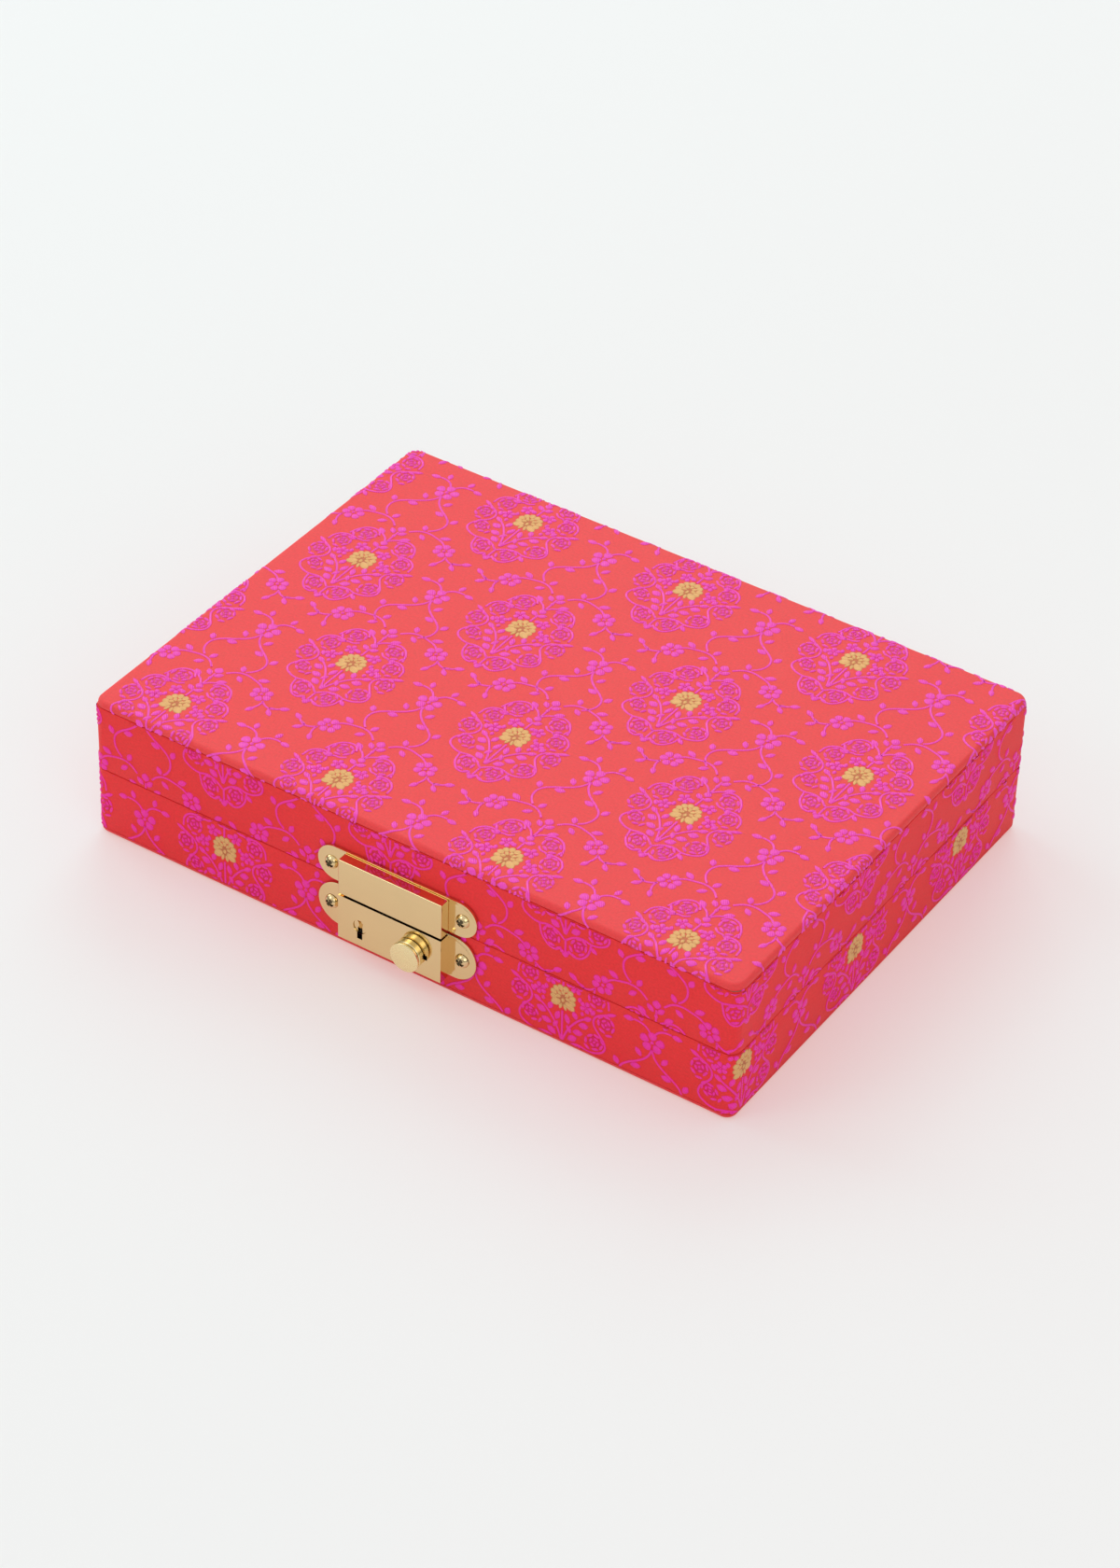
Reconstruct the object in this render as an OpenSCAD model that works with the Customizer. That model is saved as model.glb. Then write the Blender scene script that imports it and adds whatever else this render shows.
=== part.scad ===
// Brocade covered keepsake case with a hinged lid and a brass slide lock.
// Millimetres. The front, with the lock, faces -Y. The origin is the middle of the underside.

/* [Case] */
// Width of the closed case, left to right
case_w = 260; // [200:1:320]
// Depth of the closed case, front to back
case_d = 190; // [140:1:240]
// Height of the closed case
case_h = 57; // [50:0.5:80]
// Height of the opening line above the table
seam_z = 28; // [27:0.5:34]
// Open slit between the base's rim and the lid's rim
seam_gap = 0.4; // [0.2:0.1:1]
// Radius of the four upright corners, outside the cloth
corner_r = 4; // [3:0.5:10]
// Radius of the four corners of the card on top of the lid
top_corner_r = 5; // [3:0.5:10]

/* [Boards and cloth] */
// Thickness of the wall boards
wall_t = 6; // [5:0.5:8]
// Thickness of the top board and of the bottom board
board_t = 3; // [2:0.5:5]
// Thickness of the cloth wrapped card on top of the lid
top_panel_t = 2.5; // [1.5:0.1:4]
// Thickness of the cloth wrapped card under the base
bottom_panel_t = 2; // [1.5:0.1:4]
// Rounding of the two cards along their outer edge
panel_edge_r = 1.2; // [0.6:0.1:1.4]
// Slit between each card and the cloth band next to it
panel_gap = 0.2; // [0.1:0.1:0.6]
// Thickness of the brocade cloth on the walls
cloth_t = 0.5; // [0.3:0.1:1]
// Thickness of the velvet covered liner cards
liner_t = 1.5; // [1:0.1:3]
// Drop of the liner cards below the rims
liner_drop = 0.4; // [0.2:0.1:2]
// Thickness of the velvet pads on the floor and under the top
pad_t = 2.5; // [1:0.1:5]
// Clearance around each pad
pad_gap = 0.3; // [0.2:0.1:1]
// Glue line behind the cloth and between pieces that are glued
glue = 0.05; // [0.03:0.01:0.1]

/* [Lock plates and cases] */
// Sideways place of the lock from the middle of the front
lock_x = -1.7; // [-20:0.1:20]
// Width of both lock plates, over their round ends
plate_w = 64.4; // [60:0.1:80]
// Thickness of both lock plates
plate_t = 1; // [0.8:0.1:1.5]
// Gap behind the lock plates and the hinge leaves, taken up by the figure of the cloth
plate_gap = 0.3; // [0.1:0.1:0.6]
// Height of the plate on the lid
hasp_plate_h = 14; // [13:0.1:18]
// Reach of the plate on the lid below the opening line
hasp_plate_low = 0.3; // [0.1:0.1:0.6]
// Height of the plate on the base
lock_plate_h = 17.6; // [16:0.1:20]
// Drop of the base's plate below the opening line
lock_plate_drop = 1.6; // [1.3:0.1:3]
// Width of the two raised cases
lock_case_w = 41.9; // [40:0.1:46]
// Height of the raised case on the lid
hasp_case_h = 14.4; // [12:0.1:18]
// Reach of the lid's raised case below the opening line
hasp_case_low = 1.2; // [0.8:0.1:1.4]
// Height of the raised case on the base
lock_case_h = 18; // [17:0.1:20]
// Drop of the base's raised case below the opening line
lock_case_drop = 2; // [1.8:0.1:2.8]
// How far both raised cases stand out from their plates
lock_case_out = 4.3; // [4:0.1:6]
// Sheet thickness of the raised cases
case_sheet = 0.8; // [0.5:0.1:0.9]
// Distance between the two screws of a plate
plate_screws = 53.2; // [51:0.1:58]

/* [Lock works] */
// Sideways place of the key plug in the lock
key_x = -12; // [-13:0.1:-11]
// Drop of the key plug below the opening line
key_drop = 11.8; // [11.4:0.1:12.2]
// Radius of the key plug
plug_r = 2.65; // [2.3:0.05:3]
// Play around the key plug in its holes
plug_play = 0.08; // [0.05:0.01:0.1]
// Width of the key slot under the plug
key_slot_w = 2.1; // [1.6:0.1:2.4]
// Reach of the key slot below the plug's middle
key_slot_low = 5.2; // [4.8:0.1:5.4]
// Sideways place of the knob at rest
knob_x = 9; // [8.6:0.1:9.4]
// Drop of the knob below the opening line
knob_drop = 12; // [11.8:0.1:12.5]
// Travel of the knob to let the tongue go
knob_travel = 5.5; // [4.5:0.1:5.7]
// Radius of the knob's front disc
knob_r = 5.7; // [5:0.1:6.5]
// Radius of the knob's waist
knob_waist_r = 4.3; // [3:0.1:4.7]
// Radius of the knob's collar
knob_collar_r = 5.4; // [5:0.1:6.2]
// How far the knob stands out from the raised case
knob_out = 4.3; // [3.5:0.1:6]
// Radius of the knob's stem
stem_r = 0.9; // [0.7:0.05:1.1]
// Sheet thickness of the bolt, the tongue and the cam
works_sheet = 1.2; // [1:0.1:1.3]
// Play between the working pieces
works_play = 0.3; // [0.2:0.05:0.4]
// Width of the lid's tongue
tongue_w = 7; // [6:0.1:7.4]
// Reach of the tongue below the opening line
tongue_low = 13.5; // [12.5:0.1:13.8]
// Outer diameter of the return spring
spring_d = 2.4; // [2:0.1:2.4]
// Wire diameter of the return spring
spring_wire = 0.35; // [0.25:0.05:0.4]
// Turns of the return spring
spring_turns = 9; // [6:1:11]

/* [Screws] */
// Radius of the lock screws' round heads
screw_head_r = 2.7; // [2.2:0.1:3]
// Height of the lock screws' round heads
screw_head_h = 1.8; // [1.2:0.1:2.4]
// Radius of all screw shanks
screw_r = 1.2; // [0.9:0.05:1.4]
// Length of all screw shanks from the face of the plate
screw_len = 6; // [4.5:0.1:6.2]
// Play around the screw shanks
screw_play = 0.1; // [0.05:0.01:0.2]

/* [Hinges] */
// Sideways place of each hinge from the middle of the back
hinge_x = 72; // [40:1:78]
// Length of each hinge along the seam
hinge_len = 27; // [24:0.5:34]
// Height of each hinge leaf from the pin's axis
leaf_h = 12; // [10:0.1:14]
// Thickness of the hinge leaves
leaf_t = 1; // [0.8:0.1:1.2]
// Outer radius of the hinge knuckles
knuckle_r = 1.8; // [1.6:0.1:2.2]
// Radius of the hinge pins
pin_r = 0.9; // [0.7:0.05:1]
// Running play around the hinge pins
pin_play = 0.05; // [0.02:0.01:0.1]
// Gap between neighbouring knuckles
knuckle_gap = 0.3; // [0.2:0.05:0.6]
// Opening at which the stop tabs on the leaves meet, in degrees
lid_opening = 100; // [90:1:110]
// Distance of the stop tabs from the pin's axis along the leaf
stop_drop = 3.2; // [3:0.1:4]

/* [Hidden] */
$fn = 64;
eps = 0.01;
// Clearance of a part that is pressed or riveted in its hole
fixed_play = 0.02;
// Play of the knob's stem in its slot, and of the tongue in the lid's raised case
slot_play = 0.1;
// Room around the tongue where it enters the lock, for its swing
tongue_room_x = 0.7;
tongue_room_z = 1.1;

brocade = "crimson";
velvet = "mediumvioletred";
board = "burlywood";
brass = "goldenrod";
steel = "silver";

// Heights of the rims and boards
base_rim = seam_z - seam_gap / 2;
lid_rim = seam_z + seam_gap / 2;
base_wall_low = bottom_panel_t;
base_wall_high = base_rim - cloth_t - glue;
lid_wall_low = lid_rim + cloth_t + glue;
lid_wall_high = case_h - top_panel_t;
skin = cloth_t + glue;
inner_w = case_w - 2 * (skin + wall_t);
inner_d = case_d - 2 * (skin + wall_t);

// Lock heights, counted up from the opening line
hasp_plate_low_y = -hasp_plate_low;
hasp_plate_mid_y = hasp_plate_low_y + hasp_plate_h / 2;
lock_plate_low_y = -lock_plate_drop - lock_plate_h;
lock_plate_mid_y = -lock_plate_drop - lock_plate_h / 2;
hasp_case_low_y = -hasp_case_low;
lock_case_high_y = -lock_case_drop;
lock_case_low_y = lock_case_high_y - lock_case_h;

// Depths in the lock, counted out from the back of the plates
works_z = plate_t + works_play;
front_inside_z = plate_t + lock_case_out - case_sheet;
front_z = plate_t + lock_case_out;

// Bolt: a nose beside the tongue, a web behind the knob and a tail under the tongue
notch_high_y = -8;
notch_low_y = -11;
nose_tip_x = tongue_w / 2 - 2.7;
notch_x = nose_tip_x - works_play;
web_x = knob_x - 2.5;
web_w = 5.5;
web_low_y = -knob_drop - 2;
tail_low_y = lock_case_low_y + case_sheet + 1.5;
tail_h = 2.4;
tail_thin_h = 1;
tail_x = web_x + 1.5;
tail_reach = 16;
cam_w = 2.2;
cam_hub_r = 2.5;
cam_t = works_sheet - 0.1;
cam_reach = -key_drop - (tail_low_y + tail_thin_h) - 0.4;
// Right side of the tooth that the cam stops when it points down, and the step that clears the cam at rest
tooth_x = key_x - cam_w / 2 - works_play;
tail_step_x = key_x + cam_reach + 0.4;
plug_tail_r = 1.5;
flange_r = plug_r + 0.8;
flange_t = 0.9;
// Cross slots in the screws' heads
slot_w = 0.7;
slot_len = 3;
slot_depth = 1;
leaf_slot_w = 0.6;
leaf_slot_len = 2.4;
leaf_slot_depth = 0.5;
rivet_r = 0.9;
rivet_head_r = 1.6;
rivet_head_h = 0.6;
rivet_spacing = 4;
rivet_y = 5;
foot_half = 3;

// Hinge places
knuckle_len = (hinge_len - 2 * knuckle_gap) / 3;
leaf_screw_inset = 5;
leaf_screw_margin = 4.2;
leaf_screws = hinge_len - 2 * leaf_screw_inset;
leaf_screw_drop = leaf_h - leaf_screw_margin;
leaf_sink_r = 2.3;
stop_w = 5;
stop_play_deg = 1;
// Reach of a stop tab out from the pin's axis, so that the two tabs meet at the full opening
stop_out = stop_drop * tan((180 - lid_opening - stop_play_deg) / 2);

// Flat outline with round corners
module rounded_rect(w, d, r) {
    square([w - 2 * r, d], center = true);
    square([w, d - 2 * r], center = true);
    for (sx = [-1, 1], sy = [-1, 1])
        translate([sx * (w / 2 - r), sy * (d / 2 - r)])
            circle(r);
}

// Card with round corners and one rounded edge, its square face at z = 0 and its rounded face up
module wrapped_card(w, d, t, r) {
    hull()
        for (sx = [-1, 1], sy = [-1, 1])
            translate([sx * (w / 2 - r), sy * (d / 2 - r), 0])
                rotate_extrude($fn = 48) {
                    square([r - panel_edge_r, t]);
                    square([r, t - panel_edge_r]);
                    intersection() {
                        translate([r - panel_edge_r, t - panel_edge_r])
                            circle(panel_edge_r, $fn = 24);
                        square([r, t]);
                    }
                }
}

// Ring of the four mitred walls, between two heights
module wall_ring(low, high) {
    translate([0, 0, low])
        linear_extrude(high - low)
            difference() {
                rounded_rect(case_w - 2 * skin, case_d - 2 * skin, corner_r - skin);
                square([inner_w, inner_d], center = true);
            }
}

// One side of the case as a flat wedge, out to the mitre lines. Side 0 is the front, then right, back and left
module side_wedge(side) {
    reach = case_w + case_d;
    out = side % 2 == 0 ? inner_d / 2 : inner_w / 2;
    along = side % 2 == 0 ? inner_w / 2 : inner_d / 2;
    rotate(90 * side)
        translate([0, -out])
            polygon([[-along, 0], [along, 0], [along + reach, -reach], [-along - reach, -reach]]);
}

module wall(side, low, high) {
    intersection() {
        wall_ring(low, high);
        translate([0, 0, low])
            linear_extrude(high - low)
                side_wedge(side);
    }
}

// Cloth band round the walls, turned in over the rim at rim_z
module cloth_band(low, high, rim_z) {
    rim_low = min(rim_z, high - cloth_t);
    difference() {
        translate([0, 0, low])
            linear_extrude(high - low)
                rounded_rect(case_w, case_d, corner_r);
        difference() {
            translate([0, 0, low - 1])
                linear_extrude(high - low + 2)
                    rounded_rect(case_w - 2 * cloth_t, case_d - 2 * cloth_t, corner_r - cloth_t);
            translate([0, 0, rim_low])
                linear_extrude(cloth_t)
                    square([case_w, case_d], center = true);
        }
        translate([0, 0, low - 1])
            linear_extrude(high - low + 2)
                square([inner_w, inner_d], center = true);
    }
}

// Liner card on the inside of one wall. The front and back liners run full width, the others between them
module liner(side, low, high) {
    between = side % 2 == 0 ? inner_w - 2 * glue : inner_d - 2 * (liner_t + 2 * glue);
    out = side % 2 == 0 ? inner_d / 2 : inner_w / 2;
    rotate(90 * side)
        translate([-between / 2, -out + glue, low])
            cube([between, liner_t, high - low]);
}

module pad(low) {
    w = inner_w - 2 * (liner_t + glue + pad_gap);
    d = inner_d - 2 * (liner_t + glue + pad_gap);
    translate([-w / 2, -d / 2, low])
        cube([w, d, pad_t]);
}

// Everything inside is drawn on the front: x sideways, y up from the opening line, z out from the plates' backs
module on_front() {
    translate([lock_x, -case_d / 2 - plate_gap, seam_z])
        rotate([90, 0, 0])
            children();
}

// The same for the back, with z out from the leaves' backs and x to the right seen from the front
module on_back() {
    translate([0, case_d / 2 + plate_gap, seam_z])
        rotate([90, 0, 0])
            mirror([0, 0, 1])
                children();
}

// Sheet plate with round ends, its lower edge at low, with two screw holes
module round_plate(low, h) {
    linear_extrude(plate_t)
        difference() {
            translate([0, low + h / 2])
                union() {
                    square([plate_w - h, h], center = true);
                    for (s = [-1, 1])
                        translate([s * (plate_w - h) / 2, 0])
                            circle(h / 2);
                }
            for (s = [-1, 1])
                translate([s * plate_screws / 2, low + h / 2])
                    circle(screw_r + screw_play);
        }
}

// Raised case: a sheet box that is open at its back
module raised_case(low, h) {
    translate([-lock_case_w / 2, low, plate_t])
        difference() {
            cube([lock_case_w, h, lock_case_out]);
            translate([case_sheet, case_sheet, -eps])
                cube([lock_case_w - 2 * case_sheet, h - 2 * case_sheet, lock_case_out - case_sheet + eps]);
        }
}

// Round head screw with a cross slot, standing on z = face
module lock_screw(face) {
    dome_r = (screw_head_r * screw_head_r + screw_head_h * screw_head_h) / (2 * screw_head_h);
    translate([0, 0, face]) {
        difference() {
            intersection() {
                cylinder(r = screw_head_r, h = screw_head_h);
                translate([0, 0, screw_head_h - dome_r])
                    sphere(dome_r);
            }
            for (a = [45, 135])
                rotate(a)
                    translate([-slot_len / 2, -slot_w / 2, screw_head_h - slot_depth])
                        cube([slot_len, slot_w, 2 * slot_depth]);
        }
        translate([0, 0, -screw_len])
            cylinder(r = screw_r, h = screw_len + eps);
    }
}

// Flat head screw, its face flush at z = leaf_t
module leaf_screw() {
    translate([0, 0, leaf_t - (leaf_sink_r - screw_r)])
        cylinder(r1 = screw_r, r2 = leaf_sink_r - screw_play, h = leaf_sink_r - screw_r);
    difference() {
        translate([0, 0, leaf_t - screw_len])
            cylinder(r = screw_r, h = screw_len);
        for (a = [0, 90])
            rotate(a)
                translate([-leaf_slot_len / 2, -leaf_slot_w / 2, leaf_t - leaf_slot_depth])
                    cube([leaf_slot_len, leaf_slot_w, 2 * leaf_slot_depth]);
    }
}

// Places of one plate's two screws
module at_plate_screws(y) {
    for (s = [-1, 1])
        translate([s * plate_screws / 2, y, 0])
            children();
}

// Places of the two screws of each leaf, for the side of the seam that s gives: 1 for the lid, -1 for the base
module at_leaf_screws(s) {
    for (h = [-1, 1], k = [-1, 1])
        translate([h * hinge_x + k * leaf_screws / 2, s * leaf_screw_drop, 0])
            children();
}

// Pilot holes through a front or back wall and its cloth
module front_pilots(y) {
    on_front()
        at_plate_screws(y)
            translate([0, 0, -screw_len - 2])
                cylinder(r = screw_r + screw_play, h = screw_len + 3);
}
module back_pilots(s) {
    on_back()
        at_leaf_screws(s)
            translate([0, 0, -screw_len - 2])
                cylinder(r = screw_r + screw_play, h = screw_len + 3);
}

// Base
module bottom_panel() color(brocade)
    mirror([0, 0, 1])
        translate([0, 0, -bottom_panel_t])
            wrapped_card(case_w, case_d, bottom_panel_t, corner_r);
module bottom_board() color(board)
    translate([0, 0, bottom_panel_t])
        linear_extrude(board_t)
            square([inner_w - 2 * glue, inner_d - 2 * glue], center = true);
module base_wall(side) color(board)
    difference() {
        wall(side, base_wall_low, base_wall_high);
        if (side == 0) front_pilots(lock_plate_mid_y);
        if (side == 2) back_pilots(-1);
    }
module base_band() color(brocade)
    difference() {
        cloth_band(bottom_panel_t + panel_gap, base_rim, base_rim);
        front_pilots(lock_plate_mid_y);
        back_pilots(-1);
    }
module base_liner(side) color(velvet)
    liner(side, bottom_panel_t + board_t + glue, base_rim - liner_drop);
module base_pad() color(velvet)
    pad(bottom_panel_t + board_t + glue);

// Lid
module top_panel() color(brocade)
    translate([0, 0, case_h - top_panel_t])
        wrapped_card(case_w, case_d, top_panel_t, top_corner_r);
module top_board() color(board)
    translate([0, 0, case_h - top_panel_t - board_t])
        linear_extrude(board_t)
            square([inner_w - 2 * glue, inner_d - 2 * glue], center = true);
module lid_wall(side) color(board)
    difference() {
        wall(side, lid_wall_low, lid_wall_high);
        if (side == 0) front_pilots(hasp_plate_mid_y);
        if (side == 2) back_pilots(1);
    }
module lid_band() color(brocade)
    difference() {
        cloth_band(lid_rim, case_h - top_panel_t - panel_gap, lid_rim);
        front_pilots(hasp_plate_mid_y);
        back_pilots(1);
    }
module lid_liner(side) color(velvet)
    liner(side, lid_rim + liner_drop, case_h - top_panel_t - board_t - glue);
module lid_pad() color(velvet)
    pad(case_h - top_panel_t - board_t - glue - pad_t);

// Slot with the stem's play all round it, along the knob's travel
module stem_slot() {
    half = stem_r + slot_play;
    translate([-half, -half, 0])
        cube([knob_travel + 2 * half, 2 * half, case_sheet + 2 * eps]);
}

// Lock on the base
module lock_plate() color(brass)
    on_front()
        difference() {
            round_plate(lock_plate_low_y, lock_plate_h);
            translate([key_x, -key_drop, -1])
                cylinder(r = plug_tail_r + plug_play, h = plate_t + 2);
        }
module lock_case() color(brass)
    on_front()
        difference() {
            raised_case(lock_case_low_y, lock_case_h);
            // Way in for the lid's tongue
            translate([-tongue_w / 2 - tongue_room_x, lock_case_high_y - case_sheet - eps, plate_t - eps])
                cube([tongue_w + 2 * tongue_room_x, case_sheet + 2 * eps,
                    works_play + works_sheet + tongue_room_z]);
            // Hole for the key plug, and the key's slot under it
            translate([key_x, -key_drop, front_inside_z - eps])
                cylinder(r = plug_r + plug_play, h = case_sheet + 2 * eps);
            translate([key_x - key_slot_w / 2, -key_drop - key_slot_low, front_inside_z - eps])
                cube([key_slot_w, key_slot_low, case_sheet + 2 * eps]);
            // Slot for the knob's stem
            translate([knob_x, -knob_drop, front_inside_z - eps])
                stem_slot();
        }
module lock_plate_screws() color(brass)
    on_front()
        at_plate_screws(lock_plate_mid_y)
            lock_screw(plate_t);
module slide_bolt() color(steel)
    on_front()
        translate([0, 0, works_z])
            linear_extrude(works_sheet)
                polygon([
                    [nose_tip_x, notch_low_y + works_play], [nose_tip_x, notch_high_y - 1.4],
                    [nose_tip_x + 1, notch_high_y - works_play], [web_x + web_w, notch_high_y - works_play],
                    [web_x + web_w, web_low_y], [tail_x, web_low_y],
                    [tail_x, tail_low_y], [-tail_reach, tail_low_y],
                    [-tail_reach, tail_low_y + tail_h], [tooth_x, tail_low_y + tail_h],
                    [tooth_x, tail_low_y + tail_thin_h], [tail_step_x, tail_low_y + tail_thin_h],
                    [tail_step_x, tail_low_y + tail_h], [web_x, tail_low_y + tail_h],
                    [web_x, notch_low_y + works_play]]);
module slide_knob() color(brass)
    on_front()
        translate([knob_x, -knob_drop, 0]) {
            translate([0, 0, works_z + works_sheet])
                cylinder(r = stem_r, h = front_z - works_z);
            translate([0, 0, front_z])
                rotate_extrude()
                    polygon([
                        [0, 0.15], [knob_collar_r - 0.2, 0.15], [knob_collar_r, 0.35],
                        [knob_collar_r, knob_out * 0.42], [knob_waist_r, knob_out * 0.42 + 0.2],
                        [knob_waist_r, knob_out * 0.68], [knob_r, knob_out * 0.75],
                        [knob_r, knob_out - 0.25], [knob_r - 0.25, knob_out], [0, knob_out]]);
        }

// Return spring, one unbroken wire from the bolt's tail to the side of the case
spring_x0 = tail_x + 0.1;
spring_x1 = lock_case_w / 2 - case_sheet - 0.1;
spring_y = tail_low_y + tail_h / 2;
spring_z = works_z + spring_d / 2;
coil_r = (spring_d - spring_wire) / 2;
spring_rings = 8;
spring_sides = 6;
spring_pitch = (spring_x1 - spring_x0 - spring_wire) / spring_turns;
echo(spring_least_gap = spring_pitch - spring_wire);
function spring_ring(k) =
    let (a = 360 * k / spring_rings,
        x = spring_x0 + spring_wire / 2 + spring_pitch * k / spring_rings)
    [for (s = [0 : spring_sides - 1])
        let (b = 360 * s / spring_sides, rr = coil_r + spring_wire / 2 * cos(b))
        [x + spring_wire / 2 * sin(b), spring_y + rr * cos(a), spring_z + rr * sin(a)]];
module bolt_spring() color(steel) {
    last = spring_turns * spring_rings;
    points = [for (k = [0 : last]) each spring_ring(k)];
    start = [[for (s = [0 : spring_sides - 1]) s]];
    end = [[for (s = [spring_sides - 1 : -1 : 0]) last * spring_sides + s]];
    skin_faces = [for (k = [0 : last - 1], s = [0 : spring_sides - 1], half = [0, 1])
        let (n = (s + 1) % spring_sides, a = k * spring_sides, b = a + spring_sides)
        half == 0 ? [a + s, b + s, b + n] : [a + s, b + n, a + n]];
    on_front()
        polyhedron(points, concat(start, end, skin_faces));
}

// Key plug with its keyway, a flange behind the case's front and a tail in the lock plate
module key_plug() color(brass)
    on_front()
        translate([key_x, -key_drop, 0]) {
            difference() {
                union() {
                    translate([0, 0, front_inside_z - flange_t - plug_play])
                        cylinder(r = flange_r, h = flange_t);
                    translate([0, 0, works_z + works_sheet])
                        cylinder(r = plug_r, h = front_z - works_z - works_sheet - 0.1);
                }
                translate([0, 0, works_z + works_sheet + 0.6])
                    linear_extrude(lock_case_out)
                        polygon([[-1.3, 2.2], [0.2, 2.3], [1.1, 1.3], [0.8, 0], [1, -plug_r - 1],
                            [-1, -plug_r - 1], [-1, -0.8], [-0.5, 0.4], [-0.6, 1.4]]);
            }
            translate([0, 0, 0.1])
                cylinder(r = plug_tail_r, h = works_z + works_sheet);
        }
// Cam on the plug's tail. Turned down by the key, it stands in the way of the bolt's tooth
module key_cam() color(steel)
    on_front()
        translate([key_x, -key_drop, works_z])
            difference() {
                union() {
                    cylinder(r = cam_hub_r, h = cam_t);
                    translate([0, -cam_w / 2, 0])
                        cube([cam_reach, cam_w, cam_t]);
                }
                translate([0, 0, -1])
                    cylinder(r = plug_tail_r + fixed_play, h = works_sheet + 2);
            }

// Hasp on the lid
module hasp_plate() color(brass)
    on_front()
        difference() {
            round_plate(hasp_plate_low_y, hasp_plate_h);
            for (s = [-1, 1])
                translate([s * rivet_spacing / 2, rivet_y, -1])
                    cylinder(r = rivet_r + fixed_play, h = plate_t + 2);
        }
module hasp_case() color(brass)
    on_front()
        difference() {
            raised_case(hasp_case_low_y, hasp_case_h);
            translate([-tongue_w / 2 - slot_play, hasp_case_low_y - eps, plate_t - eps])
                cube([tongue_w + 2 * slot_play, case_sheet + 2 * eps, works_play + works_sheet + slot_play]);
        }
module hasp_tongue() color(steel)
    on_front()
        difference() {
            union() {
                translate([0, 0, works_z])
                    linear_extrude(works_sheet)
                        difference() {
                            polygon([
                                [-tongue_w / 2, -tongue_low], [tongue_w / 2 - 2.5, -tongue_low],
                                [tongue_w / 2, -tongue_low + 2.5], [tongue_w / 2, rivet_y + foot_half],
                                [-tongue_w / 2, rivet_y + foot_half]]);
                            translate([notch_x, notch_low_y])
                                square([tongue_w, notch_high_y - notch_low_y]);
                        }
                translate([-tongue_w / 2, rivet_y - foot_half, plate_t])
                    cube([tongue_w, 2 * foot_half, works_play + eps]);
            }
            for (s = [-1, 1])
                translate([s * rivet_spacing / 2, rivet_y, 0])
                    cylinder(r = rivet_r + fixed_play, h = front_z);
        }
module tongue_rivets() color(brass)
    on_front()
        for (s = [-1, 1])
            translate([s * rivet_spacing / 2, rivet_y, 0]) {
                cylinder(r = rivet_r, h = works_z + works_sheet + rivet_head_h);
                translate([0, 0, works_z + works_sheet])
                    cylinder(r = rivet_head_r, h = rivet_head_h);
            }
module hasp_plate_screws() color(brass)
    on_front()
        at_plate_screws(hasp_plate_mid_y)
            lock_screw(plate_t);

// Hinge leaf. s is -1 on the base and 1 on the lid; the base has the two outer knuckles and the lid the middle one
module hinge_leaf(x, s) {
    knuckles = s < 0 ? [-1, 1] : [0];
    clear = knuckle_r + 0.4;
    on_back()
        translate([x, 0, 0])
            difference() {
                union() {
                    // Leaf plate
                    translate([-hinge_len / 2, s > 0 ? clear : -leaf_h, 0])
                        cube([hinge_len, leaf_h - clear, leaf_t]);
                    for (k = knuckles) {
                        x0 = k * (knuckle_len + knuckle_gap) - knuckle_len / 2;
                        translate([x0, s > 0 ? 0 : -clear - 1, 0])
                            cube([knuckle_len, clear + 1, leaf_t]);
                        translate([x0, 0, knuckle_r])
                            rotate([0, 90, 0])
                                cylinder(r = knuckle_r, h = knuckle_len);
                    }
                    // Stop tab
                    translate([-stop_w / 2, s > 0 ? stop_drop : -stop_drop - 1, 0])
                        cube([stop_w, 1, knuckle_r + stop_out]);
                }
                translate([-hinge_len, 0, knuckle_r])
                    rotate([0, 90, 0])
                        cylinder(r = pin_r + pin_play, h = 2 * hinge_len);
                for (k = [-1, 1])
                    translate([k * leaf_screws / 2, s * leaf_screw_drop, 0]) {
                        translate([0, 0, -1])
                            cylinder(r = screw_r + screw_play, h = leaf_t + 2);
                        translate([0, 0, leaf_t - (leaf_sink_r - screw_r)])
                            cylinder(r1 = screw_r, r2 = leaf_sink_r, h = leaf_sink_r - screw_r);
                        translate([0, 0, leaf_t - eps])
                            cylinder(r = leaf_sink_r, h = 1);
                    }
            }
}
module hinge_pin(x) color(brass)
    on_back()
        translate([x - hinge_len / 2 - 0.3, 0, knuckle_r])
            rotate([0, 90, 0])
                cylinder(r = pin_r, h = hinge_len + 0.6);
module base_leaf(x) color(brass)
    hinge_leaf(x, -1);
module lid_leaf(x) color(brass)
    hinge_leaf(x, 1);
module base_leaf_screws() color(brass)
    on_back()
        at_leaf_screws(-1)
            leaf_screw();
module lid_leaf_screws() color(brass)
    on_back()
        at_leaf_screws(1)
            leaf_screw();

bottom_panel();
bottom_board();
base_wall(0);  // base_front_wall
base_wall(1);  // base_right_wall
base_wall(2);  // base_back_wall
base_wall(3);  // base_left_wall
base_band();
base_liner(0);  // base_front_liner
base_liner(1);  // base_right_liner
base_liner(2);  // base_back_liner
base_liner(3);  // base_left_liner
base_pad();
top_panel();
top_board();
lid_wall(0);  // lid_front_wall
lid_wall(1);  // lid_right_wall
lid_wall(2);  // lid_back_wall
lid_wall(3);  // lid_left_wall
lid_band();
lid_liner(0);  // lid_front_liner
lid_liner(1);  // lid_right_liner
lid_liner(2);  // lid_back_liner
lid_liner(3);  // lid_left_liner
lid_pad();
lock_plate();
lock_case();
lock_plate_screws();
slide_bolt();
slide_knob();
bolt_spring();
key_plug();
key_cam();
hasp_plate();
hasp_case();
hasp_tongue();
tongue_rivets();
hasp_plate_screws();
base_leaf(-hinge_x);  // left_base_leaf
lid_leaf(-hinge_x);  // left_lid_leaf
hinge_pin(-hinge_x);  // left_hinge_pin
base_leaf(hinge_x);  // right_base_leaf
lid_leaf(hinge_x);  // right_lid_leaf
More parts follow.
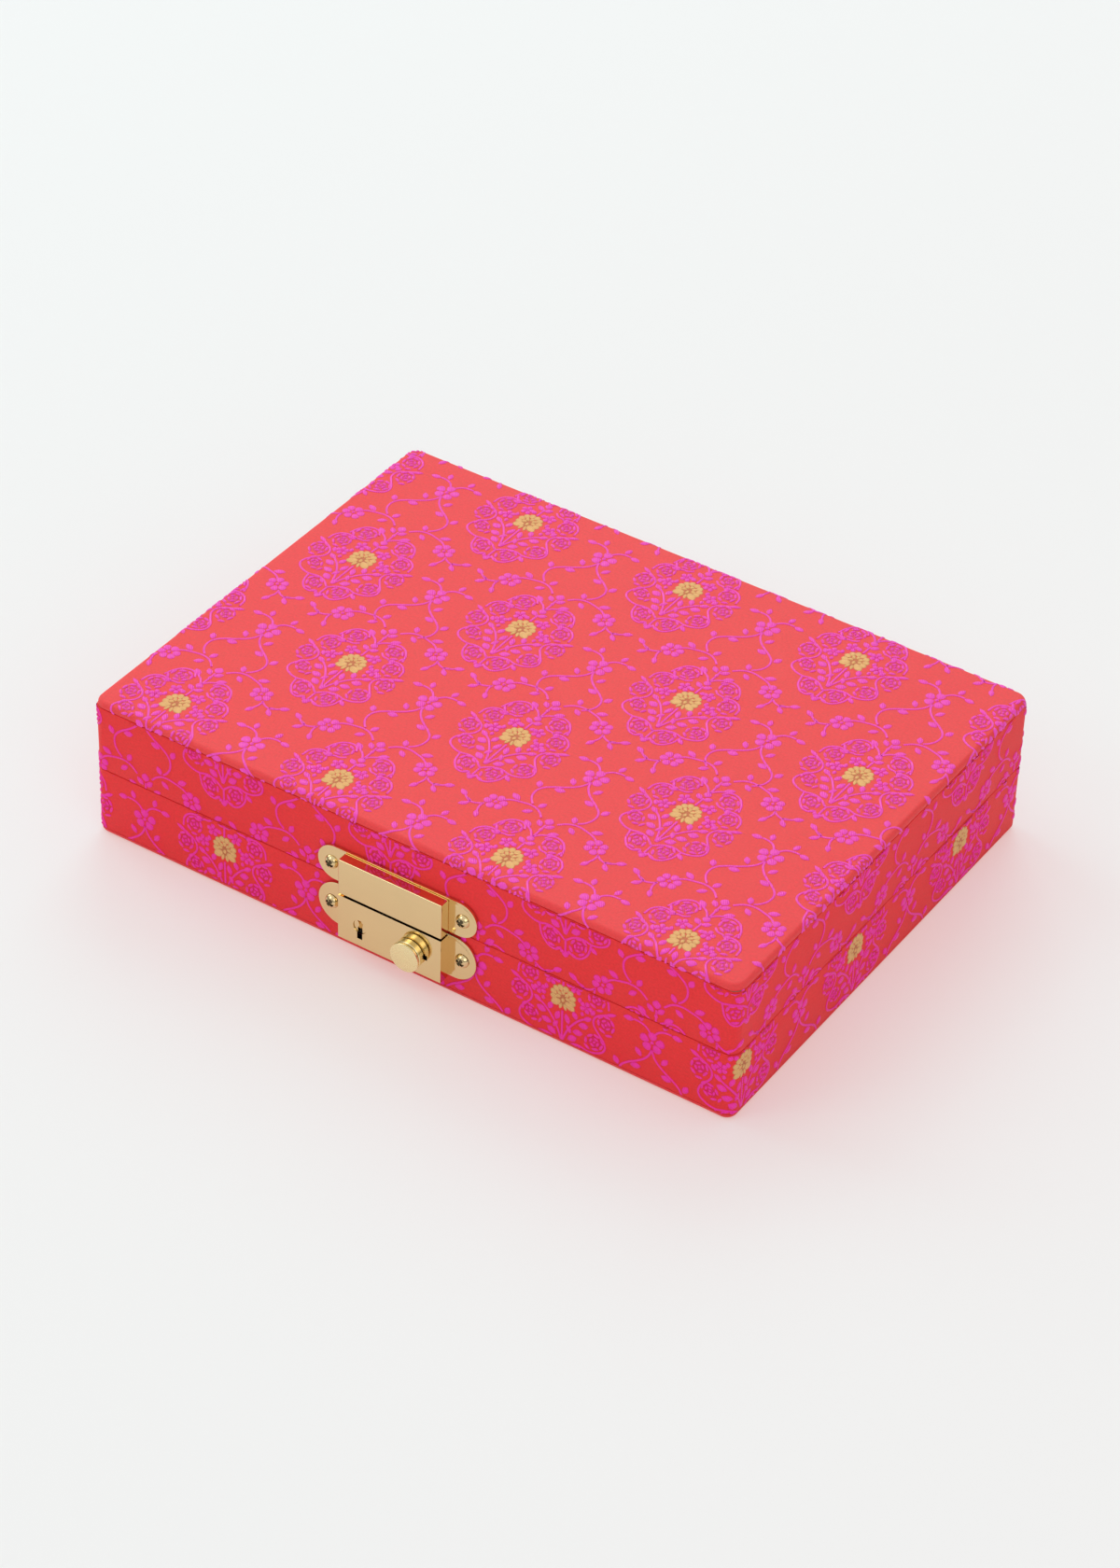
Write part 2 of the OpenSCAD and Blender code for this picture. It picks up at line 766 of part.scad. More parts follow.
hinge_pin(hinge_x);  // right_hinge_pin
base_leaf_screws();
lid_leaf_screws();
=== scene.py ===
"""Dresses the frame of a brocade covered keepsake case in cloth, velvet and brass, and sets its stage."""

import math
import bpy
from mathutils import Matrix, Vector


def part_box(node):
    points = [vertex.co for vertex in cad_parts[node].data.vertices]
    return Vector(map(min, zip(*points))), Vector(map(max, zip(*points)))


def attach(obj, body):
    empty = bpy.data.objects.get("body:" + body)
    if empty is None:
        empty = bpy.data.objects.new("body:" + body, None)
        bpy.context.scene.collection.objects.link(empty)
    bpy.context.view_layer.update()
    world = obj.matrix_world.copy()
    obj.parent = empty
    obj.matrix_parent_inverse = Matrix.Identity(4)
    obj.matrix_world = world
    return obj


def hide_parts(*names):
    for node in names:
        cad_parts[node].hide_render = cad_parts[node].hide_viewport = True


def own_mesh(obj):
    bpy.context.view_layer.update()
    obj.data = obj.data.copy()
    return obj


bl_info = {
    "name": "Brocade keepsake case",
    "version": (1, 0, 0),
    "blender": (4, 5, 0),
    "location": "View3D > Sidebar > Keepsake case",
    "description": "Dresses the case's frame in brocade, velvet and brass, and sets its stage",
    "category": "Add Mesh",
}

import bmesh
import bpy
from bpy.props import FloatProperty, FloatVectorProperty, IntProperty, PointerProperty
from mathutils import Matrix, Vector

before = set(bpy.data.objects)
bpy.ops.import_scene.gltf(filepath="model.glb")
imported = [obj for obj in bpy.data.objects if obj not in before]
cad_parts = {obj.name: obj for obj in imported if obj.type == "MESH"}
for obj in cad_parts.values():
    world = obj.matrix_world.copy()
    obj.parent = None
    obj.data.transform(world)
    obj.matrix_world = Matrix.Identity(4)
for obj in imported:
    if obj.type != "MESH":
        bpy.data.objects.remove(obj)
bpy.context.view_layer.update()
MM = 0.001

# Places read from the frame
TOP_LOW, TOP_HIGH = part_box("top_panel")
BOTTOM_LOW, BOTTOM_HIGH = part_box("bottom_panel")
LID_BAND_LOW, LID_BAND_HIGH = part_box("lid_band")
BASE_BAND_LOW, BASE_BAND_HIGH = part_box("base_band")
HALF_W = TOP_HIGH.x
HALF_D = TOP_HIGH.y
CORNER = 4 * MM
TOP_CORNER = 5 * MM
# Rounding of the cloth where two pieces meet in a seam
SEAM = 0.5 * MM
SIDES = ("front", "back", "left", "right")


# Sizes and colours that a user would change

class ClothSettings(bpy.types.PropertyGroup):
    """The brocade and its woven figure."""

    repeat_x: FloatProperty(
        name="Repeat across", description="Distance between two medallions of a row",
        default=69.3 * MM, min=0.03, unit="LENGTH")
    repeat_y: FloatProperty(
        name="Rows apart", description="Distance between two rows of medallions",
        default=52.9 * MM, min=0.03, unit="LENGTH")
    top_tilt: FloatProperty(
        name="Tilt on top", description="Turn of the figure on the top panel",
        default=math.radians(-1.1), subtype="ANGLE")
    float_height: FloatProperty(
        name="Float height", description="How far the widest floats of silk stand up",
        default=0.4 * MM, min=0.0, unit="LENGTH")
    stem_height: FloatProperty(
        name="Stem height", description="How far the stems stand up",
        default=0.26 * MM, min=0.0, unit="LENGTH")
    yarn_pitch: FloatProperty(
        name="Yarn pitch", description="Distance between two yarns of the ground",
        default=0.42 * MM, min=0.0001, unit="LENGTH")
    edge_roll: FloatProperty(
        name="Edge roll", description="Rounding of the covered panels along their edges",
        default=1.9 * MM, min=0.0, unit="LENGTH")
    ground: FloatVectorProperty(
        name="Ground", description="Colour of the coral ground", subtype="COLOR", default=(0.915, 0.046, 0.037))
    ground_shot: FloatVectorProperty(
        name="Shot", description="Colour of the weft that shows through", subtype="COLOR",
        default=(0.90, 0.028, 0.048))
    # Two copies of one silk colour: the top's copy is painted bluer as a painted sky sheen, and the sides' copy is
    # painted darker as painted shade.
    silk: FloatVectorProperty(
        name="Silk", description="Colour of the figure's silk", subtype="COLOR", default=(1.0, 0.05, 0.58))
    silk_sides_painted_shade: FloatVectorProperty(
        name="Silk", description="Colour of the figure's silk", subtype="COLOR", default=(1.0, 0.034, 0.43))
    zari: FloatVectorProperty(
        name="Gold thread", description="Colour of the gold thread", subtype="COLOR", default=(0.90, 0.52, 0.19))
    # Painted shade: the colour that darkens each float's edge and the low ground of each rose. It is partly the ground
    # showing where the floats go down, and partly shade painted into the crevice.
    binding_painted_shade: FloatVectorProperty(
        name="Binding", description="Colour between two floats, where they go down into the ground",
        subtype="COLOR", default=(0.72, 0.012, 0.06))
    velvet: FloatVectorProperty(
        name="Velvet", description="Colour of the lining", subtype="COLOR", default=(0.42, 0.012, 0.10))


class MetalSettings(bpy.types.PropertyGroup):
    """The lock and the hinges."""

    fold: FloatProperty(
        name="Fold", description="Rounding of the sheet metal's edges",
        default=0.4 * MM, min=0.0, unit="LENGTH")
    brass: FloatVectorProperty(
        name="Brass", description="Colour of the polished brass", subtype="COLOR", default=(0.80, 0.615, 0.325))
    satin: FloatVectorProperty(
        name="Satin brass", description="Colour of the turned knob", subtype="COLOR", default=(0.90, 0.76, 0.42))
    steel: FloatVectorProperty(
        name="Steel", description="Colour of the lock works", subtype="COLOR", default=(0.50, 0.50, 0.48))
    roughness: FloatProperty(
        name="Roughness", description="Roughness of the polished brass", default=0.08, min=0.0, max=1.0)


class StageSettings(bpy.types.PropertyGroup):
    """Camera, lamps and floor."""

    eye: FloatVectorProperty(
        name="Eye", description="Place of the camera", subtype="TRANSLATION",
        default=(0.65151, -1.02289, 0.97512))
    target: FloatVectorProperty(
        name="Target", description="Point in the middle of the picture", subtype="TRANSLATION",
        default=(0.004446, -0.00767, 0.026))
    roll: FloatProperty(
        name="Roll", description="Turn of the camera about its view", default=math.radians(2.003),
        subtype="ANGLE")
    lens: FloatProperty(
        name="Lens", description="Focal length for a 36 mm long side", default=102.0, min=10.0)
    sky: FloatProperty(
        name="Sky", description="Strength of the even light", default=0.7, min=0.0)
    key: FloatProperty(
        name="Key lamp", description="Power of the lamp on the left, in watts", default=31.0, min=0.0)
    back: FloatProperty(
        name="Back lamp", description="Power of the lamp behind, in watts", default=35.0, min=0.0)
    fill: FloatProperty(
        name="Fill lamp", description="Power of the lamp in front, in watts", default=11.0, min=0.0)
    spark: FloatProperty(
        name="Small lamp", description="Power of the lamp that lights the metal's edges, in watts", default=3.0, min=0.0)
    floor: FloatVectorProperty(
        name="Floor", description="Colour of the table for the light it throws back", subtype="COLOR",
        default=(0.875, 0.87, 0.862))
    # Painted bounce light: seen by the camera and in reflections, the table takes light with the first of these
    # colours and glows with the second. The glow keeps more red than green and blue, so the case's shadow on the table
    # is painted red.
    floor_shade: FloatVectorProperty(
        name="Floor shade", description="Share of the table's colour that shadows can darken", subtype="COLOR",
        default=(0.24, 0.58, 0.60))
    floor_painted_glow: FloatVectorProperty(
        name="Floor lift", description="Share of the table's colour that shadows leave", subtype="COLOR",
        default=(0.625, 0.285, 0.265))


# Materials

class Wire:
    """A socket's value in a material, which takes the usual signs of arithmetic."""

    def __init__(self, finish, socket):
        self.finish = finish
        self.socket = socket

    def sign(self, operation, *values):
        return self.finish.node("ShaderNodeMath", {"operation": operation}, dict(enumerate(values)))

    def __add__(self, other):
        return self.sign("ADD", self, other)

    __radd__ = __add__

    def __sub__(self, other):
        return self.sign("SUBTRACT", self, other)

    def __rsub__(self, other):
        return self.sign("SUBTRACT", other, self)

    def __mul__(self, other):
        return self.sign("MULTIPLY", self, other)

    __rmul__ = __mul__

    def __truediv__(self, other):
        return self.sign("DIVIDE", self, other)

    def __pow__(self, other):
        return self.sign("POWER", self, other)

    def sin(self):
        return self.sign("SINE", self)

    def abs(self):
        return self.sign("ABSOLUTE", self)

    def clamp(self):
        return self.finish.node("ShaderNodeClamp", {}, {0: self})


class Finish:
    """A material on the Principled shader, with short ways to add nodes."""

    def __init__(self, name, **sockets):
        self.material = bpy.data.materials.new(name)
        self.material.use_nodes = True
        self.tree = self.material.node_tree
        self.shader = self.tree.nodes["Principled BSDF"]
        self.set(sockets)

    def set(self, sockets):
        for name, value in sockets.items():
            self.put(self.shader.inputs[name.replace("_", " ")], value)

    def put(self, socket, value):
        if isinstance(value, Wire):
            self.tree.links.new(value.socket, socket)
        elif socket.type == "RGBA" and len(value) == 3:
            socket.default_value = (*value, 1.0)
        else:
            socket.default_value = value

    def node(self, kind, settings, inputs, output=0):
        made = self.tree.nodes.new(kind)
        for name, value in settings.items():
            if name == "stops":
                self.set_stops(made.color_ramp, value)
            else:
                setattr(made, name, value)
        for name, value in inputs.items():
            self.put(made.inputs[name], value)
        return Wire(self, made.outputs[output])

    def set_stops(self, ramp, stops):
        while len(ramp.elements) < len(stops):
            ramp.elements.new(0.5)
        for element, (position, value) in zip(ramp.elements, stops):
            element.position = position
            element.color = (value, value, value, 1.0)

    def cloth_place(self):
        """Place on the flat cloth in metres, from the piece's own UV map."""
        return self.node("ShaderNodeUVMap", {"uv_map": "cloth"}, {})

    def seen(self):
        """1 where a ray from the camera, a reflection or a clear surface looks, and 0 for light that bounces."""
        rays = [self.node("ShaderNodeLightPath", {}, {}, f"Is {kind} Ray") for kind in ("Camera", "Glossy",
                                                                                        "Transmission")]
        return (rays[0] + rays[1] + rays[2]).clamp()

    def painted_edge_shade(self):
        """1 along a float's edge and 0 on its back, from its height in the relief map: the mask where painted shade
        darkens the floats.
        """
        height = self.node("ShaderNodeUVMap", {"uv_map": "relief"}, {})
        rise, _, _ = self.split(height)
        return (1.0 - rise * 2.5).clamp()

    def object_place(self):
        return self.node("ShaderNodeTexCoord", {}, {}, "Object")

    def split(self, place):
        return [self.node("ShaderNodeSeparateXYZ", {}, {0: place}, axis) for axis in range(3)]

    def noise(self, place, scale, detail=2.0, stretch=(1.0, 1.0, 1.0)):
        stretched = self.node("ShaderNodeMapping", {}, {"Vector": place, "Scale": stretch})
        return self.node("ShaderNodeTexNoise", {}, {"Vector": stretched, "Scale": scale, "Detail": detail})

    def mix(self, amount, first, second, blend="MIX"):
        return self.node(
            "ShaderNodeMix", {"data_type": "RGBA", "blend_type": blend}, {0: amount, 6: first, 7: second}, 2)

    def bump(self, height, distance, strength=1.0):
        return self.node("ShaderNodeBump", {}, {"Height": height, "Distance": distance, "Strength": strength})


def darker(colour, share):
    return tuple(channel * share for channel in colour)


def brocade_ground(cloth, name, gloss):
    """Coral silk ground in a fine plain weave, with the pink weft showing through here and there."""
    finish = Finish(name, Roughness=0.45, Specular_IOR_Level=gloss)
    place = finish.cloth_place()
    across, along, _ = finish.split(place)
    turns = 2 * math.pi / cloth.yarn_pitch
    warp = (across * turns).sin()
    weft = (along * turns * 0.8).sin()
    slub = finish.noise(place, 260.0, 3.0, (1.0, 14.0, 1.0))
    drift = finish.noise(place, 22.0, 2.0)
    weave = warp * 0.5 + weft * 0.5
    shade = (slub * 0.5 + drift * 0.6 + weave * 0.09).clamp()
    colour = finish.mix(shade, cloth.ground, cloth.ground_shot)
    speck = finish.noise(place, 1100.0, 2.0)
    grain = (0.76 + 0.16 * weave + 0.5 * (slub - 0.5) + 0.65 * (speck - 0.5)).clamp()
    finish.set({
        "Base Color": finish.mix(1.0 - grain, colour, darker(cloth.ground, 0.55)),
        "Roughness": 0.46 + 0.14 * slub,
        "Normal": finish.bump(weave * 0.5 + slub, 0.08 * MM, 0.8)})
    return finish.material


def brocade_silk(cloth, name, silk, gloss):
    """Floats of bright pink silk, with the slanting lines of the twill that binds them."""
    finish = Finish(name, Roughness=0.38, Specular_IOR_Level=gloss)
    place = finish.cloth_place()
    across, along, _ = finish.split(place)
    turns = 2 * math.pi / (0.62 * MM)
    twill = ((across * 0.8 + along * 0.6) * turns).sin()
    thread = finish.noise(place, 420.0, 2.0, (1.0, 7.0, 1.0))
    drift = finish.noise(place, 45.0, 1.0)
    deep = (0.5 - 0.32 * twill + 0.5 * (thread - 0.5) + 0.5 * (drift - 0.5)).clamp()
    floats = finish.mix(deep * 0.5, silk, darker(silk, 0.7))
    finish.set({
        # Each float's edge is darkened towards the binding colour as painted shade.
        "Base Color": finish.mix(finish.painted_edge_shade(), floats, cloth.binding_painted_shade),
        "Roughness": 0.36 + 0.16 * thread,
        "Normal": finish.bump(twill * 0.5 + thread * 0.4, 0.16 * MM, 0.9)})
    return finish.material


def brocade_gold(cloth):
    """Flat gold thread, woven with a fine grain."""
    finish = Finish("gold_thread", Metallic=0.3, Roughness=0.4, Specular_IOR_Level=0.5)
    place = finish.cloth_place()
    across, along, _ = finish.split(place)
    turns = 2 * math.pi / (0.48 * MM)
    twill = ((across * 0.7 - along * 0.7) * turns).sin()
    rib = (across * turns * 0.9).sin()
    thread = finish.noise(place, 900.0, 2.0)
    grain = (0.5 + 0.28 * twill + 0.16 * rib + 0.6 * (thread - 0.5)).clamp()
    gold = finish.mix(grain, darker(cloth.zari, 0.62), cloth.zari)
    finish.set({
        # The gold's edges, and the low dome under the flower, are darkened to deep brown as painted shade.
        "Base Color": finish.mix(finish.painted_edge_shade(), gold, (0.5, 0.14, 0.05)),
        "Roughness": 0.3 + 0.3 * thread,
        "Normal": finish.bump(grain, 0.1 * MM, 0.9)})
    return finish.material


def velvet(cloth):
    """Short pile velvet, with the pile brushed a little unevenly."""
    finish = Finish("velvet_lining", Roughness=0.85, Specular_IOR_Level=0.2, Sheen_Weight=0.35,
                    Sheen_Roughness=0.4, Sheen_Tint=(1.0, 0.55, 0.7))
    place = finish.object_place()
    brushed = finish.noise(place, 30.0, 3.0, (1.0, 2.2, 1.0))
    pile = finish.noise(place, 1600.0, 2.0)
    lie = (brushed * 1.3 - 0.15 + (pile - 0.5) * 0.5).clamp()
    finish.set({
        "Base Color": finish.mix(lie, darker(cloth.velvet, 0.6), cloth.velvet),
        "Roughness": 0.8 + 0.15 * pile,
        "Normal": finish.bump(pile * 0.6 + brushed, 0.12 * MM, 0.7)})
    return finish.material


def polished_brass(metal):
    """Polished brass, with faint polishing lines and a little tarnish."""
    finish = Finish("polished_brass", Metallic=1.0, Roughness=metal.roughness)
    place = finish.object_place()
    lines = finish.noise(place, 300.0, 3.0, (0.25, 6.0, 6.0))
    cloud = finish.noise(place, 60.0, 2.0)
    finish.set({
        "Base Color": finish.mix((cloud * 0.5).clamp(), metal.brass, darker(metal.brass, 0.86)),
        "Roughness": metal.roughness * 0.7 + metal.roughness * 0.35 * cloud + 0.05 * lines,
        "Normal": finish.bump(lines, 0.01 * MM, 0.35)})
    return finish.material


def painted_shade_recess_brass(metal):
    """Dull brass of a screw's recess, with painted shade: its colour darkened to between a tenth and three tenths of
    the brass, mottled at random.
    """
    finish = Finish("brass_in_recess", Metallic=0.8, Roughness=0.45)
    shade_mottle = finish.noise(finish.object_place(), 900.0)
    finish.set({
        "Base Color": finish.mix(shade_mottle, darker(metal.brass, 0.1), darker(metal.brass, 0.3)),
        "Roughness": 0.4 + 0.2 * shade_mottle})
    return finish.material


def satin_brass(metal):
    """Brass with a fine turned finish, for the knob."""
    finish = Finish("satin_brass", Metallic=1.0, Roughness=0.26)
    place = finish.object_place()
    turned = finish.noise(place, 500.0, 2.0, (0.3, 1.0, 7.0))
    finish.set({
        "Base Color": finish.mix(turned * 0.3, metal.satin, darker(metal.satin, 0.85)),
        "Roughness": 0.22 + 0.1 * turned,
        "Normal": finish.bump(turned, 0.01 * MM, 0.3)})
    return finish.material


def plain_steel(metal):
    """Rolled steel sheet and wire, slightly dull."""
    finish = Finish("rolled_steel", Metallic=1.0, Roughness=0.35)
    place = finish.object_place()
    rolled = finish.noise(place, 500.0, 2.0, (0.2, 5.0, 5.0))
    finish.set({
        "Base Color": finish.mix(rolled, darker(metal.steel, 0.7), metal.steel),
        "Roughness": 0.28 + 0.2 * rolled,
        "Normal": finish.bump(rolled, 0.01 * MM, 0.4)})
    return finish.material


def grey_board():
    """Pressed board with short fibres."""
    finish = Finish("pressed_board", Roughness=0.85, Specular_IOR_Level=0.2)
    place = finish.object_place()
    fibre = finish.noise(place, 700.0, 4.0, (1.0, 1.0, 3.0))
    finish.set({
        "Base Color": finish.mix(fibre, (0.22, 0.17, 0.12), (0.36, 0.30, 0.22)),
        "Roughness": 0.75 + 0.2 * fibre,
        "Normal": finish.bump(fibre, 0.08 * MM, 0.6)})
    return finish.material


def materials():
    """The case's finishes by name, made once."""
    scene = bpy.context.scene
    if "coral_silk_ground" not in bpy.data.materials:
        brocade_ground(scene.case_cloth, "coral_silk_ground", 0.55)
        # The top's silk floats carry a painted sky sheen and the sides' silk floats painted shade: two colour copies
        # of one silk.
        brocade_silk(scene.case_cloth, "pink_silk_floats", scene.case_cloth.silk, 0.65)
        brocade_ground(scene.case_cloth, "coral_silk_sides", 0.2)
        brocade_silk(scene.case_cloth, "pink_silk_sides", scene.case_cloth.silk_sides_painted_shade, 0.25)
        brocade_gold(scene.case_cloth)
        velvet(scene.case_cloth)
        polished_brass(scene.case_metal)
        painted_shade_recess_brass(scene.case_metal)
        satin_brass(scene.case_metal)
        plain_steel(scene.case_metal)
        grey_board()
    return bpy.data.materials


# Pieces

def finish_piece(name, bm, material, body, slot, *nodes, smooth_angle=40.0):
    """Turns a bmesh into a piece of the case that rides on a body and stands for its nodes."""
    mesh = bpy.data.meshes.new(name)
    bm.to_mesh(mesh)
    bm.free()
    mesh.materials.append(materials()[material])
    mesh.shade_smooth()
    mesh.set_sharp_from_angle(angle=math.radians(smooth_angle))
    piece = bpy.data.objects.new(name, mesh)
    bpy.context.scene.collection.objects.link(piece)
    if material in ("polished_brass", "rolled_steel"):
        # Keeps the flat faces of the metal flat in the light, beside their rounded edges
        even = piece.modifiers.new("even_light", "WEIGHTED_NORMAL")
        even.keep_sharp = True
        even.weight = 90
    if nodes:
        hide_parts(*nodes)
    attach(piece, body)
    return piece


def block(low, high):
    """A bmesh box between two corners."""
    bm = bmesh.new()
    size = high - low
    place = Matrix.Translation((low + high) / 2) @ Matrix.Diagonal((*size, 1.0))
    bmesh.ops.create_cube(bm, size=1.0, matrix=place)
    return bm


def round_edges(bm, edges, radius, segments):
    bmesh.ops.bevel(
        bm, geom=list(edges), offset=radius, segments=segments, profile=0.5, affect="EDGES",
        clamp_overlap=True, material=-1)


def upright(edge):
    first, second = edge.verts
    return abs(first.co.z - second.co.z) > abs(first.co.x - second.co.x) + abs(first.co.y - second.co.y)


def copy_node(node, radius, segments=2):
    """A bmesh of a frame node with its doubles merged and its sharp edges rounded."""
    bm = bmesh.new()
    bm.from_mesh(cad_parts[node].data)
    bmesh.ops.remove_doubles(bm, verts=bm.verts, dist=0.001 * MM)
    bmesh.ops.dissolve_limit(
        bm, angle_limit=math.radians(0.5), verts=bm.verts, edges=bm.edges, use_dissolve_boundaries=False)
    if radius > 0:
        sharp = [e for e in bm.edges if e.is_manifold and e.calc_face_angle() > math.radians(35)]
        round_edges(bm, sharp, radius, segments)
    return bm


def carve(bm, cutter):
    """Cuts one bmesh out of another and gives back the result."""
    holders = []
    for shape in (bm, cutter):
        mesh = bpy.data.meshes.new("carve")
        shape.to_mesh(mesh)
        shape.free()
        holder = bpy.data.objects.new("carve", mesh)
        bpy.context.scene.collection.objects.link(holder)
        holders.append(holder)
    cut = holders[0].modifiers.new("cut", "BOOLEAN")
    cut.operation = "DIFFERENCE"
    cut.solver = "EXACT"
    cut.use_self = True
    cut.object = holders[1]
    depsgraph = bpy.context.evaluated_depsgraph_get()
    mesh = bpy.data.meshes.new_from_object(holders[0].evaluated_get(depsgraph))
    result = bmesh.new()
    result.from_mesh(mesh)
    bpy.data.meshes.remove(mesh)
    for holder in holders:
        mesh = holder.data
        bpy.data.objects.remove(holder)
        bpy.data.meshes.remove(mesh)
    return result


# Cloth surfaces: each turns a place on the flat cloth into a place on the case

class PanelCloth:
    """Cloth over a flat panel, rolled over its edge. up is 1 for the top and -1 for the underside."""

    def __init__(self, level, thickness, roll, up, corner):
        self.level = level
        self.corner = corner
        self.thickness = thickness
        self.roll = roll
        self.up = up
        self.reach = roll * math.pi / 2 + thickness - roll

    def outline(self, u, v):
        """Distance beyond the flat part's round outline, with the direction out of it."""
        centre_x = HALF_W - self.corner
        centre_y = HALF_D - self.corner
        past_x = abs(u) - centre_x
        past_y = abs(v) - centre_y
        side_x = math.copysign(1.0, u)
        side_y = math.copysign(1.0, v)
        radius = self.corner - self.roll
        if past_x > 0 and past_y > 0:
            away = math.hypot(past_x, past_y)
            return away - radius, side_x * past_x / away, side_y * past_y / away
        if past_x > past_y:
            return past_x - radius, side_x, 0.0
        return past_y - radius, 0.0, side_y

    def place(self, u, v, height):
        beyond, out_x, out_y = self.outline(u, v)
        if beyond <= 0:
            return Vector((u, v, self.level + self.up * height))
        turn = min(beyond / self.roll, math.pi / 2)
        drop = min(max(beyond - self.roll * math.pi / 2, 0.0), self.thickness - self.roll)
        out = (self.roll + height) * math.sin(turn)
        rise = (self.roll + height) * math.cos(turn) - self.roll - drop
        x = u - out_x * beyond + out_x * out
        y = v - out_y * beyond + out_y * out
        return Vector((x, y, self.level + self.up * rise))

    def drift(self, u, v):
        """The top's cloth lies true."""
        return 0.0, 0.0

    def off(self, u, v):
        return self.outline(u, v)[0] > self.reach - SEAM

    def flat_place(self, co):
        """The place on the flat cloth of a point of the panel."""
        _, out_x, out_y = self.outline(co.x, co.y)
        drop = abs(co.z - self.level)
        return co.x + out_x * drop, co.y + out_y * drop


class BandCloth:
    """Cloth round the case's four sides. Its flat length starts at the middle of the back."""

    straight_x = 2 * (HALF_W - CORNER)
    straight_y = 2 * (HALF_D - CORNER)
    bend = CORNER * math.pi / 2
    length = 2 * (straight_x + straight_y) + 4 * bend

    def __init__(self, rise):
        self.rise = rise

    def drift(self, u, v):
        """How far the cloth was pulled along and up while it was wound round the walls."""
        turn = 2 * math.pi * u / self.length
        return BAND_PULL * (1 - math.cos(turn)), self.rise * math.sin(turn + BAND_LEAD)

    def place(self, u, v, height):
        """u runs to the right along the front, from 0 at its middle."""
        runs = ((self.straight_x, self.bend), (self.straight_y, self.bend)) * 2
        along = (u + self.straight_x / 2) % self.length
        turn = 0.0
        corner = Vector((-self.straight_x / 2, -HALF_D))
        for straight, bend in runs:
            ahead = Vector((math.cos(turn), math.sin(turn)))
            outward = Vector((ahead.y, -ahead.x))
            if along <= straight:
                spot = corner + ahead * along + outward * height
                return Vector((spot.x, spot.y, v))
            along -= straight
            corner += ahead * straight
            centre = corner - outward * CORNER
            if along <= bend:
                angle = turn - math.pi / 2 + along / CORNER
                spot = centre + Vector((math.cos(angle), math.sin(angle))) * (CORNER + height)
                return Vector((spot.x, spot.y, v))
            along -= bend
            turn += math.pi / 2
            corner = centre + ahead * CORNER
        return Vector((corner.x, corner.y, v))

    def flat_place(self, co):
        """The place on the flat cloth of a point of the band, as it runs round from the front's middle."""
        past_x = abs(co.x) - self.straight_x / 2
        past_y = abs(co.y) - self.straight_y / 2
        if past_y >= past_x and past_x <= 0:
            half = abs(co.x) if co.y < 0 else self.length / 2 - abs(co.x)
        elif past_y <= 0:
            half = self.straight_x / 2 + self.bend + co.y + self.straight_y / 2
        else:
            lean = math.atan2(max(past_x, 0.0), past_y)
            if co.y < 0:
                half = self.straight_x / 2 + lean * CORNER
            else:
                half = self.length / 2 - self.straight_x / 2 - lean * CORNER
        return math.copysign(half, co.x), co.z


# The woven figure, drawn flat in millimetres round the middle of a medallion

DOME_SIDES = 10
LEAF_WIDTH = 1.38
LEAF_LENGTH = 1.08


def dome(bm, x, y, length, width, angle, height=1.0, pinch=0.35, taper=0.0):
    """One float of silk: a low oval dome, longest along angle, in degrees. taper narrows its near end."""
    made = bmesh.ops.create_cone(
        bm, cap_ends=True, cap_tris=True, segments=DOME_SIDES, radius1=1.0, radius2=0.62, depth=1.0)["verts"]
    under = [v for v in made if v.co.z < 0 and v.co.to_2d().length < 0.1]
    bmesh.ops.delete(bm, geom=under, context="VERTS")
    made = [v for v in made if v.is_valid]
    turn = Matrix.Rotation(math.radians(angle - 90), 3, "Z")
    for v in made:
        along = v.co.y
        level = 0.0 if v.co.z < 0 else (1.0 if v.co.to_2d().length < 0.1 else 0.82)
        across = v.co.x * (1 - pinch * along * along) * (1 + taper * along)
        spot = turn @ Vector((across * width / 2, along * length / 2, 0.0))
        v.co = Vector((x + spot.x, y + spot.y, level * height - 0.06))


def leaf(bm, x, y, length, width, angle):
    """A pointed leaf."""
    dome(bm, x, y, length * LEAF_LENGTH, width * LEAF_WIDTH, angle, pinch=0.6)


def ring_of_domes(bm, x, y, count, radius_x, radius_y, length, width, angle, point=0.0, start=0.0):
    """Domes lying round an oval, which point draws out to a tip along angle."""
    turn = math.radians(angle)
    for k in range(count):
        step = 2 * math.pi * k / count + start
        tip = 1 + point * max(math.cos(step), 0.0) ** 4
        near_x = math.cos(step) * radius_x * tip
        near_y = math.sin(step) * radius_y
        heading = math.degrees(math.atan2(near_y / radius_y, near_x / radius_x))
        px = x + near_x * math.cos(turn) - near_y * math.sin(turn)
        py = y + near_x * math.sin(turn) + near_y * math.cos(turn)
        dome(bm, px, py, length, width, angle + heading + 90, pinch=0.2)


def rose(bm, x, y, length, width, angle, point=0.35):
    """A full blown rose on a ground of its own: two rounds of petals and a heart, with a tip along angle."""
    mean = (length + width) / 4
    # This low dome stands so little that it takes the painted edge shade, which paints the gaps between the petals
    # dark.
    dome(bm, x, y, length * 0.8, width * 0.8, angle, height=0.16, pinch=0.05)
    ring_of_domes(bm, x, y, 7, length * 0.4, width * 0.4, mean * 0.84, mean * 0.33, angle, point, 0.2)
    ring_of_domes(bm, x, y, 4, length * 0.19, width * 0.19, mean * 0.56, mean * 0.29, angle, point * 0.3, 0.5)
    dome(bm, x, y, mean * 0.34, mean * 0.26, angle)


